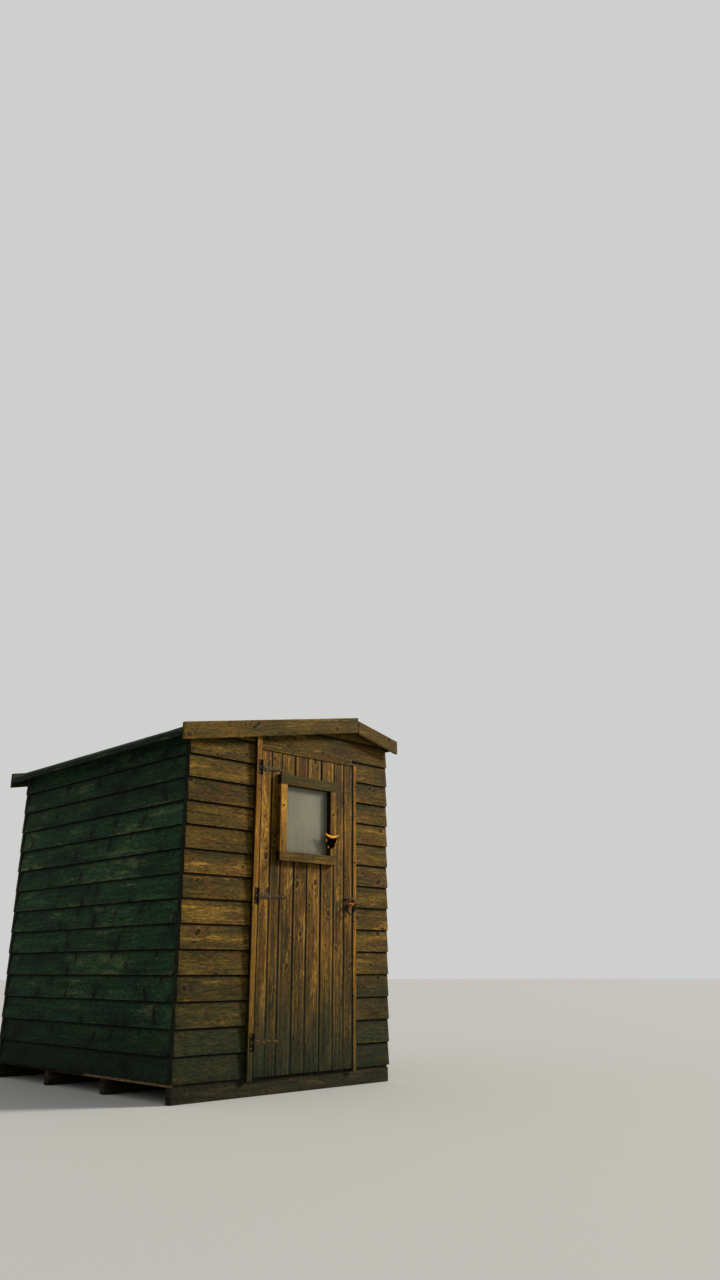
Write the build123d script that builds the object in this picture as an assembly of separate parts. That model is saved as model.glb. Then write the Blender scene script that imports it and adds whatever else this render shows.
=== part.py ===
from build123d import *
from math import cos, radians, sin, tan
import os

# Garden shed: lapped board walls, an offset ridge under felt and one boarded door.
# Millimetres, +Z up, +X to the right along the front, the front faces -Y.
# Everything is drawn from the front wall's left edge (X), the front boards' face (Y)
# and the ground (Z). put() then moves it, so that the origin lies on the ground under
# the middle of the roof.

# Walls
wall_width = 1505
wall_depth = 1880
course = 125                 # height that each lapped board shows
board_butt = 11              # how far a board's lower edge stands out over the next one
board_back = 5               # board left behind the lap
stud_depth = 28
stud_width = 32
side_wall_setback = 2        # side boards stand this far out past the front wall's edges

# Base
bearer_height = 75
bearer_width = 45
bearer_inset = 10            # bearers' faces behind the front and back boards
bearer_count = 4
floor_thickness = 15

# Roof
ridge_top = 2105             # highest point of the bargeboards above the ground
ridge_from_left = 1209       # the ridge stands nearer to the right wall
left_pitch = 10.75           # degrees
right_pitch = 12.5
left_overhang = 84
right_overhang = 50
front_overhang = 50
back_overhang = 70
barge_width = 92
right_barge_width = 79
right_barge_drop = 12        # the right bargeboards sit this much lower on the roof
barge_thickness = 18
barge_joint = 7              # open joint between the bargeboards at the ridge
felt_below_barge = 25        # felt lies this far under the bargeboards' top edges
felt_thickness = 3
felt_turn_down = 34
cap_half_width = 140
deck_thickness = 12
batten = 28
batten_joint = 1
lath_width = 22
lath_thickness = 8
lath_drop = 12               # lath shows this far under the felt's turned edge
purlin_depth = 60
purlin_width = 34
purlin_from_left = 620

# Doorway and door leaf
doorway_left = 470
doorway_width = 719
over_door_height = 118       # boards over the doorway, at its left edge
leaf_gap = 5                 # beside the hinges
latch_gap = 6                # beside the leaf's free edge
leaf_head_gap = 10
leaf_face = 16               # leaf's face in front of the wall boards
leaf_bottom = 92
door_board_thickness = 12
door_board_widths = [75, 75, 101, 98, 106, 101, 82, 70]
groove_width = 6
groove_depth = 4
post_left_width = 33
post_right_width = 25
post_face = 20               # posts' faces in front of the wall boards
ledge_thickness = 22
ledge_height = 90
ledge_inset = 6
ledge_from_bottom = 168      # lowest ledge's middle above the leaf's bottom
ledge_from_top = 99          # highest ledge's middle under the leaf's top
ledge_below_window = 195
brace_width = 80

# Window in the door
window_left = 592
window_width = 430
window_height = 484
window_from_top = 123        # frame's top under the leaf's top
window_stile = 47
window_rail_top = 58
window_rail_bottom = 52
window_depth = 34
glass_thickness = 4
glass_seat = 12              # glass runs this far behind the frame's members
bead = 14

# Hinges
strap_thickness = 2.5
plate_height = 84
plate_width = 20
plate_from_edge = 3
knuckle_radius = 4.5
pin_radius = 2
pin_clearance = 0.3
knuckle_gap = 0.4
strap_root_height = 38
strap_tip_height = 10
strap_end_radius = 8.5       # the strap ends in a disc
strap_lengths = [158, 200, 155]

# Ring latch and its keep
latch_below_ledge = 22       # latch's middle under the middle ledge's
latch_from_edge = 56         # back plate's middle from the leaf's free edge
latch_plate_width = 30
latch_plate_height = 88
latch_plate_thickness = 3
arm_width = 11
arm_thickness = 5
arm_rise = 34                # arm's root above the latch's middle
arm_bow = 13                 # how far the arm bows up over a straight line
arm_fall = 14
arm_clearance = 5            # arm passes this far in front of the post
hub_radius = 7
knob_width = 38
knob_height = 23
knob_thickness = 14
knob_from_plate = 30
stub_radius = 3
ring_radius = 27
ring_bar = 4
keep_height = 40
keep_thickness = 3

# Window catch: a plate with pointed lobes and a bowed lever across its top
catch_above_sill = 158       # catch's middle above the frame's bottom
catch_from_edge = 41         # catch's middle from the frame's right edge
catch_reach = 47             # the lobes' tips beside the catch's middle
catch_drop = 80              # the lowest lobe's tip under it
catch_notch_share = 0.66     # notches' reach over the lobes'
catch_lobes = 5
catch_shoulder = 36          # half the width of the plate's top
catch_plate_thickness = 4
lever_span = 110
lever_low_bow = 24
lever_high_bow = 11
lever_tip = 2
lever_thickness = 6
lever_overlap = 6            # lever's lowest part over the plate

# Sizes that follow
panel_depth = board_butt + board_back + stud_depth
cladding_depth = board_butt + board_back
floor_top = bearer_height + floor_thickness
side_face = -side_wall_setback
roof_width = left_overhang + wall_width + right_overhang
roof_length = front_overhang + wall_depth + back_overhang
felt_drop = felt_below_barge + felt_thickness
deck_drop = felt_drop + deck_thickness
doorway_right = doorway_left + doorway_width
leaf_left = doorway_left + leaf_gap
leaf_right = doorway_right - latch_gap
leaf_width = leaf_right - leaf_left
leaf_back = -leaf_face + door_board_thickness
ledge_back = leaf_back + ledge_thickness
hinge_x = doorway_left + leaf_gap / 2
hinge_y = -post_face - knuckle_radius - 0.5
origin = Pos(-roof_width / 2 + left_overhang, -roof_length / 2 + front_overhang, 0)

os.makedirs("parts", exist_ok=True)


def put(node, *solids):
    """Writes the node, moved so that the origin is under the middle of the roof."""
    placed = [origin * solid for solid in solids]
    shape = placed[0] if len(placed) == 1 else Compound(children=placed)
    export_step(shape, f"parts/{node}.step")


def block(x_range, y_range, z_range):
    """A square-edged piece between two values along each axis."""
    spans = [x_range, y_range, z_range]
    middle = [(low + high) / 2 for low, high in spans]
    size = [high - low for low, high in spans]
    return Pos(*middle) * Box(*size)


def prism_along_x(points, start, end):
    outline = Polyline(*[(start, y, z) for y, z in points], close=True)
    return extrude(make_face(outline), amount=end - start, dir=(1, 0, 0))


def prism_along_y(points, start, end):
    outline = Polyline(*[(x, start, z) for x, z in points], close=True)
    return extrude(make_face(outline), amount=end - start, dir=(0, 1, 0))


def roof_height(x, drop):
    """Height over x of the roof's line that lies drop under the bargeboards' top edges."""
    left = ridge_top - (ridge_from_left - x) * tan(radians(left_pitch))
    right = ridge_top - (x - ridge_from_left) * tan(radians(right_pitch))
    return min(left - drop / cos(radians(left_pitch)), right - drop / cos(radians(right_pitch)))


def ridge_at(drop):
    """Where the two slopes of that line meet."""
    lean = drop / cos(radians(left_pitch)) - drop / cos(radians(right_pitch))
    return ridge_from_left + lean / (tan(radians(left_pitch)) + tan(radians(right_pitch)))


def roof_line(x_start, x_end, drop):
    """Points of the roof's line from x_start to x_end, with the ridge if it lies between."""
    stations = [x_start, x_end]
    if x_start < ridge_at(drop) < x_end:
        stations = [x_start, ridge_at(drop), x_end]
    return [(x, roof_height(x, drop)) for x in stations]


# Heights of the doorway, the leaf and its window hang from the roof over the doorway.
doorway_head = roof_height(doorway_left, deck_drop) - over_door_height
leaf_top = doorway_head - leaf_head_gap
window_top = leaf_top - window_from_top
window_bottom = window_top - window_height
window_right = window_left + window_width
pane_left = window_left + window_stile
pane_right = window_right - window_stile
pane_bottom = window_bottom + window_rail_bottom
pane_top = window_top - window_rail_top
window_face = -leaf_face - window_depth
middle_ledge = window_bottom - ledge_below_window
ledge_centres = [leaf_bottom + ledge_from_bottom, middle_ledge, leaf_top - ledge_from_top]


def roof_layer(x_start, x_end, drop, thickness, y_range):
    """A layer of the roof: its top lies drop under the bargeboards' top edges."""
    top = roof_line(x_start, x_end, drop)
    bottom = roof_line(x_start, x_end, drop + thickness)
    return prism_along_y(top + bottom[::-1], *y_range)


def under_deck(solid):
    """Cuts a wall piece along the underside of the roof deck."""
    high = ridge_top + course
    line = roof_line(-left_overhang * 2, wall_width + left_overhang, deck_drop)
    sky = line + [(wall_width + left_overhang, high), (-left_overhang * 2, high)]
    return solid - prism_along_y(sky, -panel_depth, wall_depth + panel_depth)


def lapped_profile(height):
    """Section of a lapped wall: depth behind the boards' lower edges, and height."""
    points = [(cladding_depth, floor_top), (0, floor_top)]
    low = floor_top
    while low < height - course:
        points += [(board_butt, low + course), (0, low + course)]
        low += course
    points += [(board_butt * (height - low) / course, height), (cladding_depth, height)]
    return points


# Base: bearers across the shed, and the floor boards on them.
bearers = []
bearer_span = wall_depth - 2 * bearer_inset - bearer_width
for number in range(bearer_count):
    near = bearer_inset + number * bearer_span / (bearer_count - 1)
    bearers.append(block((0, wall_width), (near, near + bearer_width), (0, bearer_height)))
put("base_bearers", *bearers)
floor_inset = board_butt
put("floor", block(
    (floor_inset, wall_width - floor_inset),
    (floor_inset, wall_depth - floor_inset),
    (bearer_height, floor_top)))


# Lapped boards of the front and back walls
def front_boards(x_start, x_end, z_range):
    wall = under_deck(prism_along_x(lapped_profile(ridge_top), x_start, x_end))
    return wall & block((x_start, x_end), (-1, panel_depth), z_range)


boards_left_end = doorway_left - stud_width / 4
boards_right_start = doorway_right + stud_width / 4
first_lap = floor_top + course * int((doorway_head - floor_top) / course + 1)
beside_door = (floor_top, first_lap)
put("front_wall_left", front_boards(0, boards_left_end, beside_door))
put("front_wall_right", front_boards(boards_right_start, wall_width, beside_door))

# Over the doorway one wide board reaches down to the head. The boards above it run
# across the whole front.
wide_board = [
    (cladding_depth, doorway_head), (0, doorway_head),
    (board_butt, first_lap + course), (cladding_depth, first_lap + course)]
across = (0, wall_width)
over_door = front_boards(*across, (first_lap, ridge_top))
over_door += under_deck(prism_along_x(wide_board, boards_left_end, boards_right_start))
put("front_wall_over_door", over_door)

back_profile = [(wall_depth - depth, height) for depth, height in lapped_profile(ridge_top)]
put("back_wall", under_deck(prism_along_x(back_profile, 0, wall_width)))

# Lapped boards of the side walls, between the front and back walls
side_range = (panel_depth, wall_depth - panel_depth)
left_profile = [(side_face + depth, height) for depth, height in lapped_profile(ridge_top)]
right_profile = [(wall_width - x, height) for x, height in left_profile]
put("left_wall", under_deck(prism_along_y(left_profile, *side_range)))
put("right_wall", under_deck(prism_along_y(right_profile, *side_range)))


# Wall frames: rails and studs nailed to the back of the boards
def gable_frame(x_start, x_end, studs, rails, y_range):
    """Studs and rails of a gable wall, with a top rail that follows the roof."""
    top_rail = roof_layer(x_start, x_end, deck_drop, stud_width, y_range)
    frame = top_rail
    for x in studs:
        stud = block((x, x + stud_width), y_range, (floor_top, ridge_top))
        frame += under_deck(stud)
    for x_low, x_high, z_low in rails:
        frame += block((x_low, x_high), y_range, (z_low, z_low + stud_width))
    return frame


front_range = (cladding_depth, panel_depth)
back_range = (wall_depth - panel_depth, wall_depth - cladding_depth)
middle_rail = 900
jamb_left = doorway_left - stud_width
put("front_frame_left", gable_frame(
    0, doorway_left, [0, jamb_left],
    [(0, doorway_left, floor_top), (0, doorway_left, middle_rail)], front_range))
put("front_frame_right", gable_frame(
    doorway_right, wall_width, [doorway_right, wall_width - stud_width],
    [(doorway_right, wall_width, floor_top), (doorway_right, wall_width, middle_rail)],
    front_range))
put("front_frame_over_door", gable_frame(
    doorway_left, doorway_right, [(doorway_left + doorway_right - stud_width) / 2],
    [(doorway_left, doorway_right, doorway_head)], front_range)
    - block((doorway_left, doorway_right), front_range, (0, doorway_head)))
back_studs = [share * (wall_width - stud_width) / 3 for share in range(4)]
put("back_wall_frame", gable_frame(
    0, wall_width, back_studs,
    [(0, wall_width, floor_top), (0, wall_width, middle_rail)], back_range))


def side_frame(x_range):
    """Studs between a bottom, a middle and a top rail."""
    low_side = min(roof_height(x, deck_drop) for x in x_range)
    frame = under_deck(block(x_range, side_range, (low_side - stud_width, ridge_top)))
    for z_low in (floor_top, middle_rail):
        frame += block(x_range, side_range, (z_low, z_low + stud_width))
    span = side_range[1] - side_range[0] - stud_width
    for share in range(5):
        near = side_range[0] + share * span / 4
        frame += block(x_range, (near, near + stud_width), (floor_top, low_side))
    return frame


left_frame_range = (side_face + cladding_depth, side_face + panel_depth)
right_frame_range = (wall_width - left_frame_range[1], wall_width - left_frame_range[0])
put("left_wall_frame", side_frame(left_frame_range))
put("right_wall_frame", side_frame(right_frame_range))

# Posts beside the doorway, nailed over the boards' ends
post_foot = floor_top - floor_thickness
left_post_range = (doorway_left - post_left_width, doorway_left)
right_post_range = (doorway_right, doorway_right + post_right_width)
left_post_top = roof_height(left_post_range[0], deck_drop + batten)
put("door_post_left", block(left_post_range, (-post_face, 0), (post_foot, left_post_top)))
put("door_post_right", block(right_post_range, (-post_face, 0), (post_foot, doorway_head)))

# Roof deck, purlins and edge battens
deck_range = (barge_thickness - front_overhang, wall_depth + back_overhang - barge_thickness)
deck_left = -left_overhang
deck_right = wall_width + right_overhang
deck_ridge = ridge_at(felt_drop)
put("roof_deck_left", roof_layer(deck_left, deck_ridge, felt_drop, deck_thickness, deck_range))
put("roof_deck_right", roof_layer(deck_ridge, deck_right, felt_drop, deck_thickness, deck_range))

purlins = []
for centre in (purlin_from_left, ridge_at(deck_drop)):
    stations = (centre - purlin_width / 2, centre + purlin_width / 2)
    top = roof_line(*stations, deck_drop)
    foot = min(height for _, height in top) - purlin_depth
    outline = top + [(stations[1], foot), (stations[0], foot)]
    purlins.append(prism_along_y(outline, *side_range))
put("roof_purlins", *purlins)

ridge_joint = ridge_at(deck_drop)
along_eave = (deck_range[0] + batten + batten_joint, deck_range[1] - batten - batten_joint)
for side, x_start, x_end, eave in (
        ("left", deck_left, ridge_joint - batten_joint, (deck_left, deck_left + batten)),
        ("right", ridge_joint + batten_joint, deck_right, (deck_right - batten, deck_right))):
    battens = [roof_layer(*eave, deck_drop, batten, along_eave)]
    for near in (deck_range[0], deck_range[1] - batten):
        battens.append(roof_layer(x_start, x_end, deck_drop, batten, (near, near + batten)))
    put(f"roof_battens_{side}", *battens)


# Felt on each slope, turned down over the eaves, and the cap over the ridge
def eave_flap(x_range, height_at):
    """Felt that is turned down over the deck's edge."""
    top = roof_height(height_at, felt_below_barge)
    return block(x_range, deck_range, (top - felt_turn_down, top))


felt_ridge = ridge_at(felt_below_barge)
felt_left = roof_layer(deck_left, felt_ridge, felt_below_barge, felt_thickness, deck_range)
felt_left += eave_flap((deck_left - felt_thickness, deck_left), deck_left)
felt_right = roof_layer(felt_ridge, deck_right, felt_below_barge, felt_thickness, deck_range)
felt_right += eave_flap((deck_right, deck_right + felt_thickness), deck_right)
put("roof_felt_left", felt_left)
put("roof_felt_right", felt_right)
cap_range = (felt_ridge - cap_half_width, felt_ridge + cap_half_width)
cap_drop = felt_below_barge - felt_thickness
put("felt_ridge_cap", roof_layer(*cap_range, cap_drop, felt_thickness, deck_range))

# Laths that hold the turned felt at the eaves
for side, x_near, x_far, height_at in (
        ("left", deck_left - felt_thickness - lath_thickness, deck_left - felt_thickness, deck_left),
        ("right", deck_right + felt_thickness, deck_right + felt_thickness + lath_thickness, deck_right)):
    foot = roof_height(height_at, felt_below_barge) - felt_turn_down - lath_drop
    put(f"eave_lath_{side}", block((x_near, x_far), deck_range, (foot, foot + lath_width)))

# Bargeboards with plumb ends, in front of and behind the roof's edges
barge_faces = {
    "front": (-front_overhang, barge_thickness - front_overhang),
    "back": (wall_depth + back_overhang - barge_thickness, wall_depth + back_overhang)}
left_barge_end = ridge_from_left - barge_joint
for end, y_range in barge_faces.items():
    left_board = roof_layer(-left_overhang, left_barge_end, 0, barge_width, y_range)
    right_board = roof_layer(ridge_from_left, deck_right, right_barge_drop, right_barge_width, y_range)
    put(f"bargeboard_{end}_left", left_board)
    put(f"bargeboard_{end}_right", right_board)

# Door leaf: tongued boards with grooves between them, cut out for the window
leaf = block((leaf_left, leaf_right), (-leaf_face, leaf_back), (leaf_bottom, leaf_top))
edge = leaf_left
for width in door_board_widths[:-1]:
    edge += width * leaf_width / sum(door_board_widths)
    groove = [(edge - groove_width / 2, -leaf_face), (edge, groove_depth - leaf_face),
              (edge + groove_width / 2, -leaf_face)]
    outline = Polyline(*[(x, y, leaf_bottom) for x, y in groove], close=True)
    leaf -= extrude(make_face(outline), amount=leaf_top - leaf_bottom, dir=(0, 0, 1))
cut_x = (pane_left - glass_seat, pane_right + glass_seat)
cut_z = (pane_bottom - glass_seat, pane_top + glass_seat)
leaf -= block(cut_x, (-leaf_face - 1, leaf_back + 1), cut_z)
put("door_boards", leaf)

# Ledges and a brace behind the boards
ledge_x = (leaf_left + ledge_inset, leaf_right - ledge_inset)
ledges = []
for centre in ledge_centres:
    span = (centre - ledge_height / 2, centre + ledge_height / 2)
    ledges.append(block(ledge_x, (leaf_back, ledge_back), span))
brace_low = ledge_centres[0] + ledge_height / 2
brace_high = ledge_centres[1] - ledge_height / 2
brace = prism_along_y([
    (ledge_x[0], brace_low), (ledge_x[0] + brace_width, brace_low),
    (ledge_x[1], brace_high), (ledge_x[1] - brace_width, brace_high)], leaf_back, ledge_back)
put("door_ledges", ledges[0] + brace + ledges[1], ledges[2])

# Window frame on the leaf's face, with the pane behind it
window_y = (window_face, -leaf_face)
put("window_frame_left", block((window_left, pane_left), window_y, (pane_bottom, pane_top)))
put("window_frame_right", block((pane_right, window_right), window_y, (pane_bottom, pane_top)))
put("window_frame_top", block((window_left, window_right), window_y, (pane_top, window_top)))
put("window_frame_bottom", block((window_left, window_right), window_y, (window_bottom, pane_bottom)))
glass_back = glass_thickness - leaf_face
put("window_glass", block(cut_x, (-leaf_face, glass_back), cut_z))
bead_ring = block(cut_x, (glass_back, leaf_back), cut_z)
bead_hole_x = (cut_x[0] + bead, cut_x[1] - bead)
bead_hole_z = (cut_z[0] + bead, cut_z[1] - bead)
put("glazing_beads", bead_ring - block(bead_hole_x, (glass_back, leaf_back), bead_hole_z))

# Tee hinges: plate, two knuckles and pin on the post, strap and middle knuckle on the leaf
lying = Rot(90, 0, 0)
plates = []
straps = []
for centre, length in zip(ledge_centres, strap_lengths):
    plate_right = doorway_left - plate_from_edge
    foot = centre - plate_height / 2
    thickness = (-post_face - strap_thickness, -post_face)
    plate = block((plate_right - plate_width, plate_right), thickness, (foot, foot + plate_height))
    knuckle = strap_root_height / 2
    end_height = plate_height / 2 - knuckle
    for low in (foot, centre + knuckle):
        plate += Pos(hinge_x, hinge_y, low + end_height / 2) * Cylinder(knuckle_radius, end_height)
        plate += block((plate_right, hinge_x), thickness, (low, low + end_height))
    plate += Pos(hinge_x, hinge_y, centre) * Cylinder(pin_radius, plate_height)
    plates.append(plate)
    half = knuckle - knuckle_gap
    strap_face = -leaf_face - strap_thickness
    eye = Pos(hinge_x, hinge_y, centre) * Cylinder(knuckle_radius, 2 * half)
    neck = block((hinge_x, leaf_left + knuckle_radius), (hinge_y, -leaf_face), (centre - half, centre + half))
    start = leaf_left + knuckle_radius
    tip = leaf_left + length - strap_end_radius
    blade = prism_along_y([
        (start, centre - half), (tip, centre - strap_tip_height / 2),
        (tip, centre + strap_tip_height / 2), (start, centre + half)], strap_face, -leaf_face)
    end = Pos(tip, strap_face + strap_thickness / 2, centre) * lying
    strap = eye + neck + blade + end * Cylinder(strap_end_radius, strap_thickness)
    strap -= Pos(hinge_x, hinge_y, centre) * Cylinder(pin_radius + pin_clearance, plate_height)
    straps.append(strap)
put("hinge_plates", *plates)
put("hinge_straps", *straps)

# Ring latch: back plate with a bowed arm that passes in front of the post, knob and ring
latch_x = leaf_right - latch_from_edge
latch_height = middle_ledge - latch_below_ledge
arm_back = -post_face - arm_clearance
arm_front = arm_back - arm_thickness
plate_back = -leaf_face
plate_front = plate_back - latch_plate_thickness
plate_face = Pos(latch_x, plate_back, latch_height) * lying * SlotOverall(
    latch_plate_height, latch_plate_width, rotation=90)
latch = extrude(plate_face, amount=latch_plate_thickness, dir=(0, -1, 0))
arm_root = (latch_x, latch_height + arm_rise)
arm_end = (doorway_right + post_right_width / 2, latch_height + arm_rise - arm_fall)
arm_middle = ((arm_root[0] + arm_end[0]) / 2, (arm_root[1] + arm_end[1]) / 2 + arm_bow)


def arm_edge(points, shift):
    """One long edge of the bowed arm."""
    return ThreePointArc(*[(x, arm_back, z + shift) for x, z in points])


arm_stations = [arm_root, arm_middle, arm_end]
half_arm = arm_width / 2
arm_outline = [
    arm_edge(arm_stations, half_arm),
    Line((arm_end[0], arm_back, arm_end[1] + half_arm), (arm_end[0], arm_back, arm_end[1] - half_arm)),
    arm_edge(arm_stations[::-1], -half_arm),
    Line((arm_root[0], arm_back, arm_root[1] - half_arm), (arm_root[0], arm_back, arm_root[1] + half_arm))]
latch += extrude(make_face(arm_outline), amount=arm_thickness, dir=(0, -1, 0))
rivet_length = plate_back - arm_front
rivet_middle = (plate_back + arm_front) / 2
latch += Pos(arm_root[0], rivet_middle, arm_root[1]) * lying * Cylinder(hub_radius, rivet_length)
put("door_latch", latch)

knob_x = latch_x + knob_from_plate
knob_y = (arm_back - knob_thickness, arm_back)
half_knob = knob_height / 2
knob = block((knob_x - knob_width / 2, knob_x + knob_width / 2), knob_y,
             (latch_height - half_knob, latch_height + half_knob))
knob = fillet(knob.edges().filter_by(Axis.Y), half_knob - 1)
hub_length = plate_back - knob_y[1]
knob += Pos(knob_x, (plate_back + knob_y[1]) / 2, latch_height) * lying * Cylinder(hub_radius, hub_length)
stub_x = knob_x - knob_width / 4
stub_z = latch_height - half_knob / 2
stub_length = 2 * ring_bar
stub_y = knob_y[0] - stub_length / 2
knob += Pos(stub_x, stub_y, stub_z) * lying * Cylinder(stub_radius, stub_length)
put("latch_knob", knob)
ring_z = stub_z + stub_radius - (ring_radius - ring_bar)
ring_y = knob_y[0] - ring_bar
put("latch_ring", Pos(stub_x, ring_y, ring_z) * lying * Torus(ring_radius, ring_bar))

# Keep on the post, under the arm's end
keep_top = arm_end[1] - half_arm - arm_clearance
keep_x = (doorway_right + plate_from_edge, doorway_right + post_right_width - plate_from_edge)
keep = block(keep_x, (-post_face - keep_thickness, -post_face), (keep_top - keep_height, keep_top))
keep += block(keep_x, (arm_front, -post_face), (keep_top - keep_thickness, keep_top))
put("latch_keep", keep)

# Window catch: the plate's lobes fan out downwards, the lever's horns turn up
catch_x = window_right - catch_from_edge
catch_height = window_bottom + catch_above_sill
fan = [(catch_x + catch_shoulder, catch_height), (catch_x - catch_shoulder, catch_height)]
steps = 2 * catch_lobes
for step in range(1, steps):
    share = 1 if step % 2 else catch_notch_share
    angle = radians(180 + 180 * step / steps)
    fan.append((catch_x + share * catch_reach * cos(angle), catch_height + share * catch_drop * sin(angle)))
catch = prism_along_y(fan, window_face - catch_plate_thickness, window_face)
lever_back = window_face - catch_plate_thickness
horn = lever_span / 2
horn_height = catch_height + lever_low_bow - lever_overlap


def lever_edge(bow, lift):
    """One long edge of the lever, from horn to horn."""
    return ThreePointArc((catch_x - horn, lever_back, horn_height + lift),
                         (catch_x, lever_back, horn_height - bow),
                         (catch_x + horn, lever_back, horn_height + lift))


lever_outline = [lever_edge(lever_low_bow, 0), lever_edge(lever_high_bow, lever_tip)]
for side in (-horn, horn):
    lever_outline.append(Line((catch_x + side, lever_back, horn_height),
                              (catch_x + side, lever_back, horn_height + lever_tip)))
lever_face = make_face(lever_outline)
catch += extrude(lever_face, amount=lever_thickness, dir=(0, -1, 0))
catch += extrude(lever_face, amount=catch_plate_thickness, dir=(0, 1, 0))
put("window_catch", catch)
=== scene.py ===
import math
import random

import bmesh
import bpy
from mathutils import Matrix, Vector, noise


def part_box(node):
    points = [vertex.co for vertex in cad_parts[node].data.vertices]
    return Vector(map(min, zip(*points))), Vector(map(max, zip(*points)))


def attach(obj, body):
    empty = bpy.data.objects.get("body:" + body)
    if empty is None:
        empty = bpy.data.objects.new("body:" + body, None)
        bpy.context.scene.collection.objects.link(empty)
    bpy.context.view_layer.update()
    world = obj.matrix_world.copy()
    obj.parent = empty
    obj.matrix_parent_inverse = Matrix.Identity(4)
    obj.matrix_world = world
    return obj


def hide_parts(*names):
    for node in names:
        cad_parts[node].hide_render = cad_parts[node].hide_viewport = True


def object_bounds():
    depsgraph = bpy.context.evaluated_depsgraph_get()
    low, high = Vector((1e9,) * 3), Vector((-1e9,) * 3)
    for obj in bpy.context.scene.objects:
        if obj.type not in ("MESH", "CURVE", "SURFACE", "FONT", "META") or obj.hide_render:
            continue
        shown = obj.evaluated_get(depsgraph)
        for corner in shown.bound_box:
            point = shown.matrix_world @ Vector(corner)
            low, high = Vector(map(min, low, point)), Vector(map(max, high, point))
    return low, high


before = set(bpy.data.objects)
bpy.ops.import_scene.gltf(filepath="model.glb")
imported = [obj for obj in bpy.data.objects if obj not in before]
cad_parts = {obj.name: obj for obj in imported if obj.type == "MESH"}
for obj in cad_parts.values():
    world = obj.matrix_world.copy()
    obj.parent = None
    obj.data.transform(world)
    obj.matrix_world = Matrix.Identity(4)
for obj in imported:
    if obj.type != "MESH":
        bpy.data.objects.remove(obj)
CAD_BOX = [list(corner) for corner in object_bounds()]

# Camera: it stands low in front of the left corner and looks up at the bargeboards.
CAMERA_PLACE = (-3.6405, -5.181, 0.618)
CAMERA_YAW = 44.61
CAMERA_PITCH = 18.88
CAMERA_ROLL = -0.085
CAMERA_LENS = 27.05
CAMERA_SENSOR = 36


def stand(name, data):
    """An object with this data, set in the scene."""
    made = bpy.data.objects.new(name, data)
    bpy.context.scene.collection.objects.link(made)
    return made


camera = stand("camera", bpy.data.cameras.new("camera"))
camera.data.lens = CAMERA_LENS
camera.data.sensor_width = CAMERA_SENSOR
view = Matrix.Translation(CAMERA_PLACE)
for angle, axis in ((-CAMERA_YAW, "Z"), (90 + CAMERA_PITCH, "X"), (CAMERA_ROLL, "Z")):
    view = view @ Matrix.Rotation(math.radians(angle), 4, axis)
camera.matrix_world = view
bpy.context.scene.camera = camera

# Studio: a pale floor, a soft key light from the right of the front and an even pale sky.
# The left wall is lit by the sky alone.
FLOOR_COLOUR = (0.50, 0.495, 0.48, 1)
FLOOR_RADIUS = 60
SKY_COLOUR = (0.62, 0.63, 0.62, 1)
SKY_STRENGTH = 0.75
KEY_COLOUR = (1.0, 0.94, 0.84)
KEY_STRENGTH = 3.9
KEY_TILT = 63
KEY_TURN = 58
KEY_SPREAD = 14
bpy.context.scene.view_settings.view_transform = "Standard"
key = stand("key", bpy.data.lights.new("key", "SUN"))
key.data.energy = KEY_STRENGTH
key.data.color = KEY_COLOUR
key.data.angle = math.radians(KEY_SPREAD)
key.rotation_euler = (math.radians(KEY_TILT), 0, math.radians(KEY_TURN))


class Field:
    """A number, vector or colour in a node tree. Arithmetic on it adds the nodes."""

    def __init__(self, socket):
        self.socket = socket
        self.tree = socket.id_data
        self.long = socket.type in ("VECTOR", "RGBA")

    def __add__(self, other):
        return maths("ADD", self, other)

    def __sub__(self, other):
        return maths("SUBTRACT", self, other)

    def __rsub__(self, other):
        return maths("SUBTRACT", other, self)

    def __mul__(self, other):
        return maths("MULTIPLY", self, other)

    def __rmul__(self, other):
        return maths("MULTIPLY", self, other)

    def __truediv__(self, other):
        return maths("DIVIDE", self, other)

    def axis(self, number):
        """One of a vector's or colour's three numbers."""
        return add(self.tree, "ShaderNodeSeparateXYZ", {0: self}, number)


def add(tree, kind, inputs=None, out=0, **settings):
    """Adds a node, sets its properties and inputs, and gives one of its outputs as a field."""
    made = tree.nodes.new(kind)
    for key, value in settings.items():
        setattr(made, key, value)
    for key, value in (inputs or {}).items():
        if isinstance(value, Field):
            tree.links.new(value.socket, made.inputs[key])
        else:
            made.inputs[key].default_value = value
    return Field(made.outputs[out]) if made.outputs else None


def maths(operation, *values):
    """A node that works on fields and constants. A vector times a number is scaled."""
    tree = next(value.tree for value in values if isinstance(value, Field))
    long = [value.long if isinstance(value, Field) else isinstance(value, (tuple, Vector))
            for value in values]
    values = [value[:3] if isinstance(value, tuple) else value for value in values]
    if not any(long):
        return add(tree, "ShaderNodeMath", dict(enumerate(values)), operation=operation)
    if operation == "MULTIPLY" and not all(long):
        inputs = {0: values[long.index(True)], 3: values[long.index(False)]}
        return add(tree, "ShaderNodeVectorMath", inputs, operation="SCALE")
    out = 1 if operation in ("LENGTH", "DOT_PRODUCT") else 0
    return add(tree, "ShaderNodeVectorMath", dict(enumerate(values)), out, operation=operation)


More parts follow.
